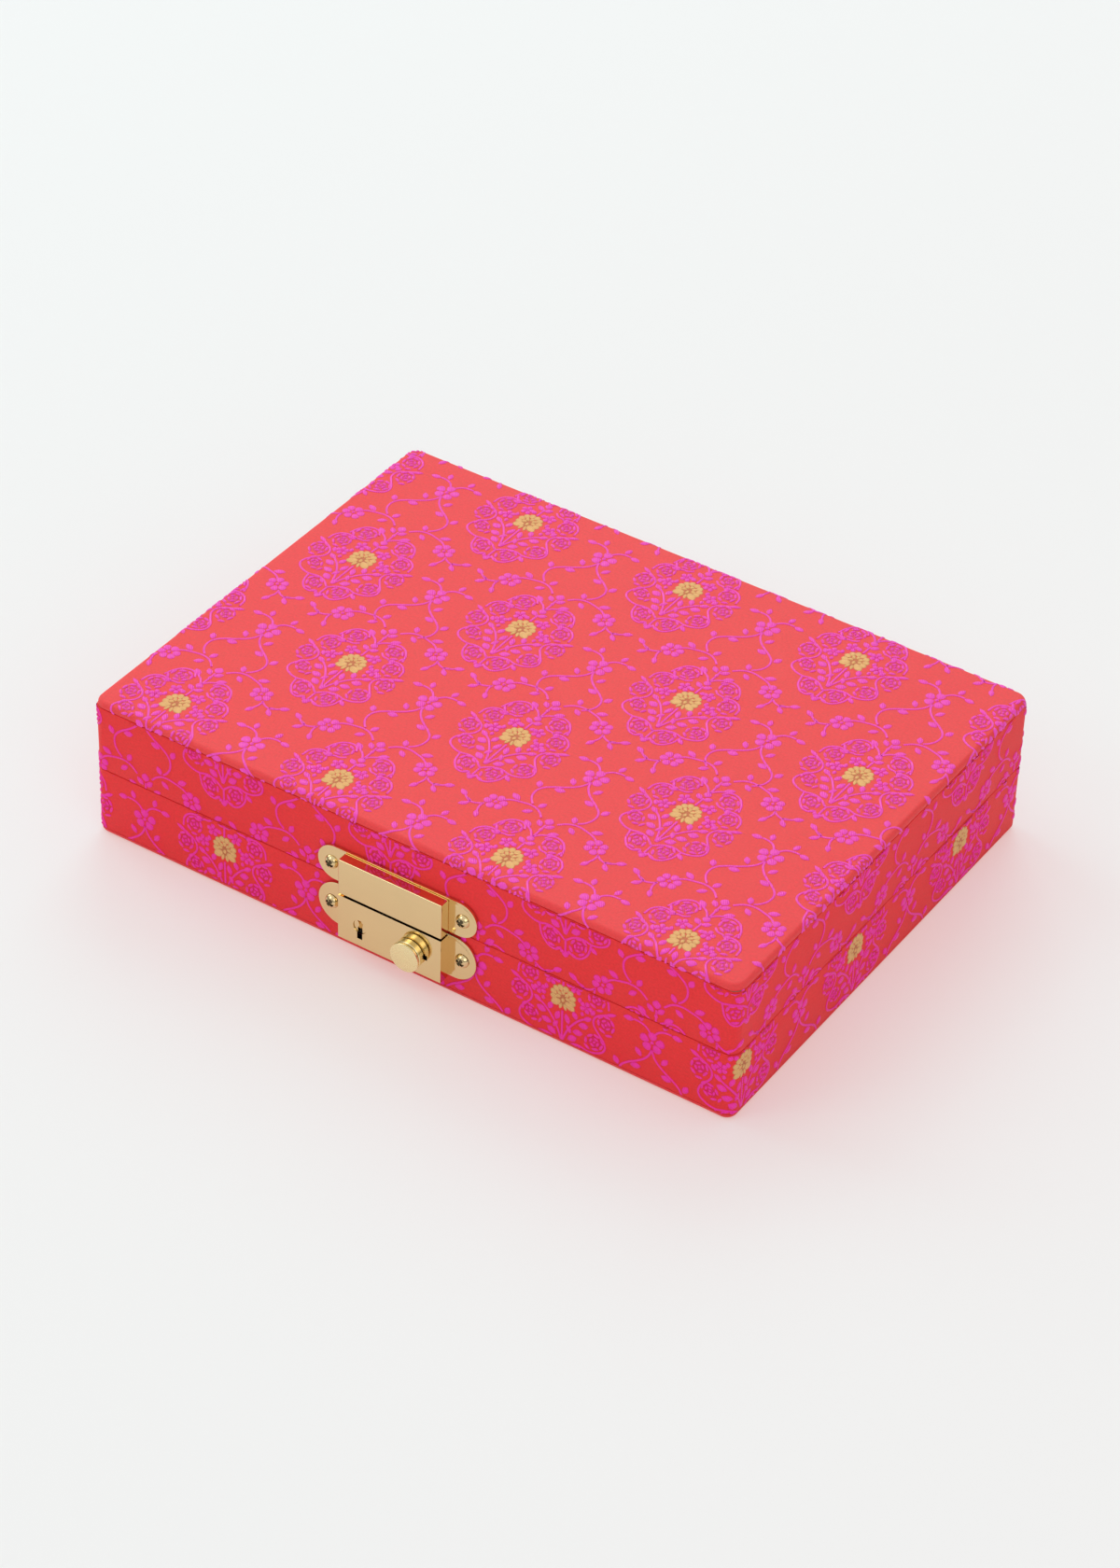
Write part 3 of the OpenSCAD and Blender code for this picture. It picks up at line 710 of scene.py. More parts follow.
def blossom(bm, x, y, petals, spread, length, width, start=90.0, squat=1.0):
    """A small open flower with a heart. squat below 1 lowers it."""
    for k in range(petals):
        angle = start + 360.0 * k / petals
        px = x + spread * math.cos(math.radians(angle))
        py = y + spread * squat * math.sin(math.radians(angle))
        dome(bm, px, py, length, width, angle, pinch=0.1, taper=0.3)
    dome(bm, x, y, spread * 0.55, spread * 0.55, 0.0)


def mirrored(values):
    """Both sides of a leaf or a flower given for the right: x, y, and its angle last."""
    x, y, *rest, angle = values
    return (values, (-x, y, *rest, 180.0 - angle))


# Leaves as x, y, length, width, angle. The first list is drawn on both sides
PAIRED_LEAVES = (
    (2.0, 21.3, 3.8, 1.8, 45), (5.1, 18.8, 4.2, 2.0, 36), (1.7, 10.6, 3.6, 1.8, 36),
    (2.2, 6.9, 2.3, 1.6, 20), (6.5, 2.5, 2.4, 1.3, 80), (7.6, -3.0, 1.6, 1.6, 0),
    (8.2, -8.0, 4.1, 2.4, 15), (6.1, -11.9, 4.2, 2.2, 12), (4.0, -15.4, 4.2, 2.3, 32),
    (4.8, -5.1, 3.6, 1.8, 110), (1.9, -8.0, 4.4, 1.8, 107), (9.7, -4.3, 3.9, 1.7, 33),
    (2.6, -12.0, 3.6, 1.5, 118), (11.6, -0.6, 3.0, 1.6, 60), (10.6, 9.4, 3.0, 1.5, 10),
    (18.6, 1.8, 4.6, 1.3, 27), (1.1, -25.7, 1.7, 1.3, 40),
    (8.9, 24.0, 4.0, 1.8, -38), (6.5, 29.3, 3.7, 1.9, 117), (16.3, 28.2, 4.4, 2.0, 26),
    (31.6, 19.7, 4.1, 1.8, 32), (28.5, 14.9, 3.9, 1.7, -40), (21.9, 12.9, 3.9, 1.7, -118))
SINGLE_LEAVES = (
    (0.3, 23.6, 3.6, 2.8, 90), (0.2, 12.9, 3.0, 2.4, 90), (0.3, 18.6, 2.2, 1.2, 90),
    (0.0, -16.7, 3.3, 1.7, 90), (0.2, -26.6, 2.6, 2.1, 90), (10.9, -20.0, 3.6, 1.5, -38))
# Stems as lists of points, on both sides and on one
PAIRED_STEMS = (
    ((4.6, 17.9), (1.6, 15.9), (0.3, 14.0)),
    ((0.2, -18.0), (2.0, -13.0), (4.3, -9.1), (7.3, -5.8), (10.2, -4.0)),
    ((19.6, 2.3), (15.8, 0.4), (12.6, -2.0), (12.1, -5.2), (14.0, -8.3), (16.4, -11.6), (16.5, -14.6),
     (14.2, -16.8), (10.2, -17.9), (6.5, -17.2), (3.3, -18.1), (0.2, -20.6)),
    ((9.2, 9.1), (13.4, 9.8), (16.9, 7.4), (17.7, 3.4)),
    ((4.8, 11.2), (6.6, 9.8), (8.6, 9.6), (10.8, 8.0)),
    ((4.0, 15.6), (5.6, 17.9), (9.2, 17.9), (12.2, 15.0), (13.6, 11.0)),
    ((1.3, -24.6), (4.3, -26.2), (8.4, -23.4), (10.0, -18.2)),
    ((3.2, 23.9), (5.9, 26.3), (9.0, 27.3), (13.4, 26.7), (16.8, 25.6), (18.6, 24.2)),
    ((22.8, 18.9), (25.1, 17.4), (27.2, 17.0), (30.2, 18.6)),
    ((23.2, 18.6), (23.2, 16.4), (22.4, 14.2)),
    ((28.9, 18.0), (27.2, 17.0), (28.2, 15.6)))
SINGLE_STEMS = (
    ((0.3, 21.4), (0.3, 14.0)),
    ((0.1, 10.4), (-0.1, 5.6)),
    ((-0.1, -5.2), (0.0, -15.6)),
    ((0.2, -25.4), (0.2, -20.6)))
# The flower halfway between two medallions of a row, and what grows from it
HALFWAY = (34.5, -2.0)
HALFWAY_LEAVES = (
    (9.2, 6.3, 4.2, 1.9, -6), (4.7, 8.9, 3.6, 1.8, 74), (5.0, -6.2, 4.0, 1.8, 54),
    (5.9, -12.7, 4.2, 2.1, -12), (13.3, -13.9, 3.7, 2.0, 62))
HALFWAY_STEMS = (
    ((0.5, 3.2), (2.5, 5.6), (4.5, 6.5), (7.2, 6.7)),
    ((0.1, -3.0), (0.5, -4.8), (2.0, -7.4), (5.4, -10.4), (9.0, -12.8), (11.6, -15.6), (12.1, -19.0),
     (10.8, -22.2), (9.0, -24.0)))
# Roses as x, y, length, width, angle, on both sides
PAIRED_ROSES = (
    (8.3, 13.8, 9.0, 6.6, -28), (12.9, 5.6, 7.8, 7.2, -80), (16.8, -3.2, 8.4, 7.2, -82),
    (5.2, -21.2, 9.2, 6.4, -118))
SIDE_FLOWER = (20.2, 21.8)
STEM_WIDTH = 0.93


def stem_points(points, shift=(0.0, 0.0), side=1):
    return [(shift[0] + side * x, shift[1] + y) for x, y in points]


def draw_stems(bm, routes, width):
    """Stems as one smooth curve each, half sunk in the cloth."""
    curve = bpy.data.curves.new("stems", "CURVE")
    curve.dimensions = "3D"
    curve.resolution_u = 4
    curve.bevel_depth = 1.0
    curve.bevel_resolution = 1
    curve.use_fill_caps = True
    for route in routes:
        spline = curve.splines.new("BEZIER")
        spline.bezier_points.add(len(route) - 1)
        for point, (x, y) in zip(spline.bezier_points, route):
            point.co = (x, y, 0.0)
            point.radius = width / 2
            point.handle_left_type = "AUTO"
            point.handle_right_type = "AUTO"
    holder = bpy.data.objects.new("stems", curve)
    bpy.context.scene.collection.objects.link(holder)
    depsgraph = bpy.context.evaluated_depsgraph_get()
    mesh = bpy.data.meshes.new_from_object(holder.evaluated_get(depsgraph))
    bpy.data.objects.remove(holder)
    bpy.data.curves.remove(curve)
    half = bmesh.new()
    half.from_mesh(mesh)
    bpy.data.meshes.remove(mesh)
    bmesh.ops.bisect_plane(
        half, geom=half.verts[:] + half.edges[:] + half.faces[:], plane_co=(0, 0, -0.01), plane_no=(0, 0, -1),
        clear_outer=True)
    for v in half.verts:
        v.co.z = v.co.z * 2 / width
    holder_mesh = bpy.data.meshes.new("half_stems")
    half.to_mesh(holder_mesh)
    half.free()
    bm.from_mesh(holder_mesh)
    bpy.data.meshes.remove(holder_mesh)


def silk_motif(cloth):
    """One repeat of the pink figure: a medallion, its vines and the flower beside it. Flat, in metres."""
    bm = bmesh.new()
    leaves = [place for one in PAIRED_LEAVES for place in mirrored(one)]
    leaves += SINGLE_LEAVES
    leaves += [(HALFWAY[0] + x, HALFWAY[1] + y, *rest) for one in HALFWAY_LEAVES for x, y, *rest in mirrored(one)]
    for place in leaves:
        leaf(bm, *place)
    for one in PAIRED_ROSES:
        for place in mirrored(one):
            rose(bm, *place)
    rose(bm, 12.6, -12.8, 8.4, 7.0, -140, 0.25)
    rose(bm, -12.4, -11.2, 8.8, 5.6, -37, 0.3)
    for side in (1, -1):
        blossom(bm, side * 4.9, 6.6, 5, 1.5, 2.4, 2.0)
        blossom(bm, side * 8.9, 0.4, 5, 1.5, 2.4, 2.0, 90 - side * 20)
        blossom(bm, side * SIDE_FLOWER[0], SIDE_FLOWER[1], 6, 2.75, 3.4, 3.1, 90 + side * 12, 0.9)
    blossom(bm, *HALFWAY, 5, 3.1, 4.0, 3.7, 90, 0.82)
    routes = [stem_points(route, side=side) for route in PAIRED_STEMS for side in (1, -1)]
    routes += [stem_points(route) for route in SINGLE_STEMS]
    routes += [stem_points(route, HALFWAY, side) for route in HALFWAY_STEMS for side in (1, -1)]
    for v in bm.verts:
        v.co.z *= cloth.float_height / MM
    stems = bmesh.new()
    draw_stems(stems, routes, STEM_WIDTH)
    for v in stems.verts:
        v.co.z *= cloth.stem_height / MM
    mesh = bpy.data.meshes.new("stem_figure")
    stems.to_mesh(mesh)
    stems.free()
    bm.from_mesh(mesh)
    bpy.data.meshes.remove(mesh)
    bmesh.ops.scale(bm, vec=(MM, MM, MM), verts=bm.verts)
    return bm


def gold_motif(cloth):
    """The gold flower in the middle of a medallion: two rounds of scales over three leaves and a heart."""
    bm = bmesh.new()
    rounds = ((8, -16.0, 196.0, 3.75, 3.0, 2.5), (5, -6.0, 186.0, 1.85, 2.2, 1.7))
    for count, first, last, reach, length, width in rounds:
        for k in range(count):
            angle = first + (last - first) * k / (count - 1)
            x = reach * math.cos(math.radians(angle))
            y = reach * math.sin(math.radians(angle)) + 0.6
            dome(bm, x, y, length, width, angle, pinch=0.1, taper=0.25)
    dome(bm, 0.0, -0.7, 2.1, 1.5, 90)
    dome(bm, 0.0, -1.0, 8.8, 7.2, 0, height=0.1, pinch=0.0)
    for side in (1, -1):
        dome(bm, side * 2.7, -2.3, 4.9, 3.5, -90 + side * 54, pinch=0.3)
        dome(bm, side * 0.85, -3.4, 3.1, 1.45, -90 + side * 16, pinch=0.3)
    for v in bm.verts:
        v.co.z *= 0.8 * cloth.float_height / MM
    bmesh.ops.scale(bm, vec=(MM, MM, MM), verts=bm.verts)
    return bm


def keep_flat_places(bm, places, name="cloth"):
    """Writes a pair of values for each corner into a UV map, such as the flat place that the weave reads."""
    layer = bm.loops.layers.uv.new(name)
    for face in bm.faces:
        for loop in face.loops:
            loop[layer].uv = places(loop, face)


def lay_figure(motif, surface, cloth, middle, tilt, low, high):
    """Repeats a motif over the flat cloth, trims it to the piece and lays it on the surface."""
    bm = bmesh.new()
    source = bpy.data.meshes.new("motif")
    motif.to_mesh(source)
    size = 40 * MM
    turn = Matrix.Rotation(tilt, 4, "Z")
    rows = range(-12, 13)
    columns = range(-9, 10)
    for row in rows:
        for column in columns:
            shift = Vector(((column + 0.5 * (row % 2)) * cloth.repeat_x, row * cloth.repeat_y, 0.0))
            if row % 2:
                shift += Vector((*ODD_ROWS, 0.0))
            spot = Vector((*middle, 0.0)) + turn @ shift
            if not (low[0] - size < spot.x < high[0] + size and low[1] - size < spot.y < high[1] + size):
                continue
            before = len(bm.verts)
            bm.from_mesh(source)
            bm.verts.ensure_lookup_table()
            bmesh.ops.transform(bm, matrix=Matrix.Translation(spot) @ turn, verts=bm.verts[before:])
    bpy.data.meshes.remove(source)
    for v in bm.verts:
        along, up = surface.drift(v.co.x, v.co.y)
        v.co.x += along
        v.co.y += up
    for axis in (0, 1):
        for limit, facing in ((low[axis], -1), (high[axis], 1)):
            point = Vector((0, 0, 0))
            point[axis] = limit
            normal = Vector((0, 0, 0))
            normal[axis] = facing
            bmesh.ops.bisect_plane(
                bm, geom=bm.verts[:] + bm.edges[:] + bm.faces[:], plane_co=point, plane_no=normal,
                clear_outer=True)
    if hasattr(surface, "off"):
        outside = [f for f in bm.faces if all(surface.off(v.co.x, v.co.y) for v in f.verts)]
        bmesh.ops.delete(bm, geom=outside, context="FACES")
    keep_flat_places(bm, lambda loop, face: loop.vert.co.to_2d())
    keep_flat_places(bm, lambda loop, face: (loop.vert.co.z / cloth.float_height, 0.5), "relief")
    for v in bm.verts:
        v.co = surface.place(*v.co)
    return bm


def panel_ground(low, high, surface, up):
    """The covered card of the top or the underside, its corners round and one edge rolled."""
    bm = block(low, high)
    round_edges(bm, [e for e in bm.edges if upright(e)], surface.corner, 14)
    face_level = high.z if up > 0 else low.z
    for level, radius, segments in ((face_level, surface.roll, 6), (low.z + high.z - face_level, SEAM, 3)):
        rim = [e for e in bm.edges if all(abs(v.co.z - level) < 1e-7 for v in e.verts)]
        round_edges(bm, rim, radius, segments)
    keep_flat_places(bm, lambda loop, face: surface.flat_place(loop.vert.co))
    return bm


def band_ground(low, high, rim_z, surface):
    """Cloth round the walls with its rim turned in over them."""
    bm = block(low, high)
    round_edges(bm, [e for e in bm.edges if upright(e)], CORNER, 14)
    caps = [f for f in bm.faces if abs(f.normal.z) > 0.9]
    bmesh.ops.delete(bm, geom=caps, context="FACES_ONLY")
    bmesh.ops.bisect_plane(
        bm, geom=bm.verts[:] + bm.edges[:] + bm.faces[:], plane_co=(0, 0, 0), plane_no=(1, 0, 0))
    for edge_z, turned_in in ((rim_z, 6.4 * MM), (low.z + high.z - rim_z, 1.2 * MM)):
        rim = [e for e in bm.edges if all(abs(v.co.z - edge_z) < 1e-7 for v in e.verts)]
        turned = bmesh.ops.extrude_edge_only(bm, edges=rim)["geom"]
        for v in turned:
            if isinstance(v, bmesh.types.BMVert):
                v.co.x *= 1 - turned_in / HALF_W
                v.co.y *= 1 - turned_in / HALF_D
        rim = [e for e in bm.edges if all(abs(v.co.z - edge_z) < 1e-7 for v in e.verts)
               and len(e.link_faces) == 2 and any(abs(f.normal.z) < 0.5 for f in e.link_faces)]
        round_edges(bm, rim, SEAM, 3)
    bmesh.ops.recalc_face_normals(bm, faces=bm.faces)
    centre = Vector((0, 0, (low.z + high.z) / 2))
    side = max(bm.faces, key=lambda f: f.calc_area() * (abs(f.normal.z) < 0.5))
    if side.normal.dot(side.calc_center_median() - centre) < 0:
        bmesh.ops.reverse_faces(bm, faces=bm.faces)

    def band_place(loop, face):
        u, v = surface.flat_place(loop.vert.co)
        middle, _ = surface.flat_place(face.calc_center_median())
        if u - middle > surface.length / 2:
            u -= surface.length
        elif middle - u > surface.length / 2:
            u += surface.length
        return u, v

    keep_flat_places(bm, band_place)
    return bm


def thicken(piece, thickness):
    """Gives an open cloth shell its thickness, inwards."""
    solid = piece.modifiers.new("cloth_thickness", "SOLIDIFY")
    solid.thickness = thickness
    solid.offset = -1.0
    return piece


# Operators, one for each group of pieces

# Middle of one medallion on each cloth, and how the cloth of the bands was pulled round the walls
TOP_MIDDLE = (-0.8 * MM, -28.5 * MM)
LID_BAND_MIDDLE = (-5.3 * MM, 64.6 * MM)
BASE_BAND_MIDDLE = (-5.3 * MM, 18.0 * MM)
LID_BAND_RISE = 2.0 * MM
BASE_BAND_RISE = 3.4 * MM
BAND_PULL = 2.2 * MM
BAND_LEAD = math.radians(13)
# Every second row of medallions lies a little off the middle between its neighbours
ODD_ROWS = (0.5 * MM, -1.33 * MM)


class CASE_OT_panels(bpy.types.Operator):
    """Covers the top and the underside in brocade"""

    bl_idname = "case.panels"
    bl_label = "Covered panels"

    def execute(self, context):
        cloth = context.scene.case_cloth
        panels = (("top", TOP_LOW, TOP_HIGH, 1, "lid"), ("bottom", BOTTOM_LOW, BOTTOM_HIGH, -1, "base"))
        silk = silk_motif(cloth)
        gold = gold_motif(cloth)
        for name, low, high, up, body in panels:
            level = high.z if up > 0 else low.z
            corner = TOP_CORNER if up > 0 else CORNER
            surface = PanelCloth(level, high.z - low.z, cloth.edge_roll, up, corner)
            ground = panel_ground(low, high, surface, up)
            finish_piece(name + "_cloth", ground, "coral_silk_ground", body, "brocade", name + "_panel")
            if up < 0:
                continue
            edge = Vector((HALF_W - cloth.edge_roll, HALF_D - cloth.edge_roll))
            far = edge + Vector((surface.reach, surface.reach))
            for kind, motif, material in (("figure", silk, "pink_silk_floats"), ("gold", gold, "gold_thread")):
                bm = lay_figure(motif, surface, cloth, TOP_MIDDLE, cloth.top_tilt, -far, far)
                finish_piece(f"{name}_{kind}", bm, material, body, "brocade", smooth_angle=80)
        silk.free()
        gold.free()
        return {"FINISHED"}


class CASE_OT_bands(bpy.types.Operator):
    """Wraps the walls of the lid and the base in brocade"""

    bl_idname = "case.bands"
    bl_label = "Brocade bands"

    def execute(self, context):
        cloth = context.scene.case_cloth
        silk = silk_motif(cloth)
        gold = gold_motif(cloth)
        bands = (("lid_band", LID_BAND_LOW, LID_BAND_HIGH, LID_BAND_LOW.z, LID_BAND_MIDDLE, LID_BAND_RISE, "lid"),
                 ("base_band", BASE_BAND_LOW, BASE_BAND_HIGH, BASE_BAND_HIGH.z, BASE_BAND_MIDDLE, BASE_BAND_RISE,
                  "base"))
        for name, low, high, rim_z, middle, rise, body in bands:
            surface = BandCloth(rise)
            ground = band_ground(low, high, rim_z, surface)
            piece = finish_piece(name + "_cloth", ground, "coral_silk_sides", body, "brocade", name)
            thicken(piece, 0.4 * MM)
            flat_low = Vector((-surface.length / 2, low.z + 0.3 * MM))
            flat_high = Vector((surface.length / 2, high.z - 0.3 * MM))
            for kind, motif, material in (("figure", silk, "pink_silk_sides"), ("gold", gold, "gold_thread")):
                bm = lay_figure(motif, surface, cloth, middle, 0.0, flat_low, flat_high)
                if not bm.faces:
                    # No gold falls on the lid's band
                    bm.free()
                    continue
                finish_piece(f"{name}_{kind}", bm, material, body, "brocade", smooth_angle=80)
        silk.free()
        gold.free()
        return {"FINISHED"}


class CASE_OT_lining(bpy.types.Operator):
    """Lines the inside with velvet cards and pads"""

    bl_idname = "case.lining"
    bl_label = "Velvet lining"

    def execute(self, context):
        for body in ("base", "lid"):
            for side in SIDES:
                node = f"{body}_{side}_liner"
                bm = block(*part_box(node))
                round_edges(bm, bm.edges, 0.5 * MM, 3)
                finish_piece(node + "_velvet", bm, "velvet_lining", body, "velvet", node)
            node = body + "_pad"
            piece = finish_piece(node + "_velvet", self.pad(*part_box(node), 1 if body == "base" else -1),
                                 "velvet_lining", body, "velvet", node)
        return {"FINISHED"}

    def pad(self, low, high, up):
        """A thin pad with a soft rounded edge and a slight crown."""
        bm = block(low, high)
        bmesh.ops.subdivide_edges(
            bm, edges=[e for e in bm.edges if abs(e.verts[0].co.z - e.verts[1].co.z) < 1e-6],
            cuts=30, use_grid_fill=True)
        half = (high - low) / 2
        centre = (high + low) / 2
        sink = 0.9 * MM
        crown = 8 * MM
        for v in bm.verts:
            if (v.co.z - centre.z) * up > 0:
                edge = min(half.x - abs(v.co.x - centre.x), half.y - abs(v.co.y - centre.y))
                fall = max(0.0, 1 - edge / crown)
                v.co.z -= up * sink * fall * fall
        return bm


class CASE_OT_boards(bpy.types.Operator):
    """Finishes the boards under the cloth"""

    bl_idname = "case.boards"
    bl_label = "Boards"

    def execute(self, context):
        boards = [f"{body}_{side}_wall" for body in ("base", "lid") for side in SIDES]
        for node in boards + ["top_board", "bottom_board"]:
            paint_node(node, "pressed_board")
        return {"FINISHED"}


def paint_node(node, material):
    """Gives a frame node its finish and leaves its shape alone."""
    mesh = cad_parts[node].data
    mesh.materials.clear()
    mesh.materials.append(materials()[material])


class CASE_OT_lock(bpy.types.Operator):
    """Makes the lock's plates, raised cases, screws and plug"""

    bl_idname = "case.lock"
    bl_label = "Brass lock"

    def execute(self, context):
        metal = context.scene.case_metal
        folded = (("lock_plate", "base"), ("lock_case", "base"), ("hasp_plate", "lid"), ("hasp_case", "lid"))
        for node, body in folded:
            bm = copy_node(node, metal.fold)
            if node.endswith("plate"):
                self.stamp_rim(bm, 0.95 * MM)
            finish_piece(node + "_brass", bm, "polished_brass", body, "brass", node, smooth_angle=30)
        for node, body in (("lock_plate_screws", "base"), ("hasp_plate_screws", "lid")):
            bm = self.cross_heads(copy_node(node, 0.15 * MM), node)
            screws = finish_piece(node + "_brass", bm, "polished_brass", body, "brass", node, smooth_angle=35)
            # The second material paints shade into the screws' cross recesses.
            screws.data.materials.append(materials()["brass_in_recess"])
        plug = copy_node("key_plug", 0.12 * MM)
        front = min(v.co.y for v in plug.verts)
        for v in plug.verts:
            if v.co.y < front + 0.5 * MM:
                v.co.y += 0.3 * MM
        finish_piece("key_plug_brass", plug, "polished_brass", "plug", "brass", "key_plug", smooth_angle=35)
        return {"FINISHED"}

    def stamp_rim(self, bm, width):
        """A shallow line stamped along the edges of the front."""
        front = min(v.co.y for v in bm.verts)
        face = [f for f in bm.faces if f.normal.y < -0.99 and abs(f.calc_center_median().y - front) < 0.01 * MM]
        rings = [
            bmesh.ops.inset_region(bm, faces=face, thickness=step, depth=0.0, use_even_offset=True)["faces"]
            for step in (width, 0.2 * MM, 0.2 * MM)]
        line = {v for f in rings[1] for v in f.verts} & {v for f in rings[2] for v in f.verts}
        # Only the round ends are stamped: along the straight edges the line would run into the case
        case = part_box("lock_case")
        for v in line:
            if not case[0].x - 1.0 * MM < v.co.x < case[1].x + 1.0 * MM:
                v.co.y += 0.16 * MM

    def cross_heads(self, bm, node):
        """Cuts a cross recess into each screw head and gives its walls the second material, brass with painted shade.
        """
        low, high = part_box(node)
        head = 2.7 * MM
        middles = (low.x + head, high.x - head)
        cutter = bmesh.new()
        for x in middles:
            for turn in (20.0, 110.0):
                place = (Matrix.Translation((x, low.y, (low.z + high.z) / 2)) @ Matrix.Rotation(
                    math.radians(turn), 4, "Y") @ Matrix.Diagonal((3.2 * MM, 2.2 * MM, 0.85 * MM, 1.0)))
                bmesh.ops.create_cube(cutter, size=1.0, matrix=place)
        bm = carve(bm, cutter)
        for face in bm.faces:
            centre = face.calc_center_median()
            reach = min(math.hypot(centre.x - x, centre.z - (low.z + high.z) / 2) for x in middles)
            if reach < 1.62 * MM and 0.42 * MM < centre.y - low.y < 1.2 * MM:
                face.material_index = 1
        return bm


class CASE_OT_knob(bpy.types.Operator):
    """Turns the slide knob with its collar, waist and front disc"""

    bl_idname = "case.knob"
    bl_label = "Slide knob"

    def execute(self, context):
        low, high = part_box("slide_knob")
        centre = (low + high) / 2
        front = low.y
        case_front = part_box("lock_case")[0].y
        disc = (high.x - low.x) / 2
        collar = disc - 0.25 * MM
        groove = disc - 1.0 * MM
        stem = 0.9 * MM
        out = case_front - front
        bm = bmesh.new()
        # Radius and distance in front of the raised case, from the stem to the middle of the disc
        profile = [
            (stem, case_front - high.y), (stem, 0.2 * MM), (collar - 0.3 * MM, 0.2 * MM),
            (collar, 0.5 * MM), (collar, 0.62 * out - 0.2 * MM), (collar - 0.2 * MM, 0.62 * out),
            (groove, 0.64 * out), (groove, 0.72 * out), (disc - 0.15 * MM, 0.74 * out), (disc, 0.74 * out + 0.15 * MM),
            (disc, out - 0.3 * MM), (disc - 0.1 * MM, out - 0.09 * MM), (disc - 0.3 * MM, out), (0.0, out)]
        verts = [bm.verts.new((centre.x + radius, case_front - reach, centre.z)) for radius, reach in profile]
        for first, second in zip(verts, verts[1:]):
            bm.edges.new((first, second))
        bmesh.ops.spin(
            bm, geom=bm.verts[:] + bm.edges[:], cent=(centre.x, case_front, centre.z), axis=(0, 1, 0),
            angle=2 * math.pi, steps=64, use_merge=True)
        bmesh.ops.remove_doubles(bm, verts=bm.verts, dist=0.001 * MM)
        bmesh.ops.recalc_face_normals(bm, faces=bm.faces)
        finish_piece("slide_knob_brass", bm, "satin_brass", "bolt", "brass", "slide_knob", smooth_angle=30)
        return {"FINISHED"}


class CASE_OT_works(bpy.types.Operator):
    """Finishes the bolt, the tongue, the cam and the rivets, and winds the spring"""

    bl_idname = "case.works"
    bl_label = "Lock works"

    def execute(self, context):
        metal = context.scene.case_metal
        sheet = (("slide_bolt", "bolt", "rolled_steel", "steel"), ("hasp_tongue", "lid", "rolled_steel", "steel"),
                 ("key_cam", "plug", "rolled_steel", "steel"), ("tongue_rivets", "lid", "polished_brass", "brass"))
        for node, body, material, slot in sheet:
            finish_piece(node + "_metal", copy_node(node, 0.12 * MM), material, body, slot, node, smooth_angle=30)
        self.spring()
        return {"FINISHED"}

    def spring(self):
        low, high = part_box("bolt_spring")
        wire = 0.35 * MM / 2
        turns = 9
        rings = turns * 16
        radius = (high.z - low.z) / 2 - wire
        centre = (low + high) / 2
        run = high.x - low.x - 2 * wire
        bm = bmesh.new()
        start = Matrix.Translation((low.x + wire, centre.y, centre.z + radius)) @ Matrix.Rotation(math.pi / 2, 4, "X")
        bmesh.ops.create_circle(bm, cap_ends=False, segments=8, radius=wire, matrix=start)
        bmesh.ops.spin(
            bm, geom=bm.verts[:] + bm.edges[:], cent=centre, axis=(1, 0, 0), dvec=(run / rings, 0, 0),
            angle=turns * 2 * math.pi, steps=rings)
        bmesh.ops.holes_fill(bm, edges=bm.edges)
        bmesh.ops.recalc_face_normals(bm, faces=bm.faces)
        piece = finish_piece("bolt_spring_wire", bm, "rolled_steel", "base", "steel", "bolt_spring",
                             smooth_angle=60)
        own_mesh(piece)


class CASE_OT_hinges(bpy.types.Operator):
    """Rounds and finishes the hinges on the back"""

    bl_idname = "case.hinges"
    bl_label = "Hinges"

    def execute(self, context):
        for side in ("left", "right"):
            for part, body in (("base_leaf", "base"), ("lid_leaf", "lid"), ("hinge_pin", "base")):
                node = f"{side}_{part}"
                finish_piece(node + "_brass", copy_node(node, 0.12 * MM), "polished_brass", body, "brass", node,
                             smooth_angle=35)
        for body in ("base", "lid"):
            node = body + "_leaf_screws"
            finish_piece(node + "_brass", copy_node(node, 0.06 * MM), "polished_brass", body, "brass", node,
                         smooth_angle=35)
        return {"FINISHED"}


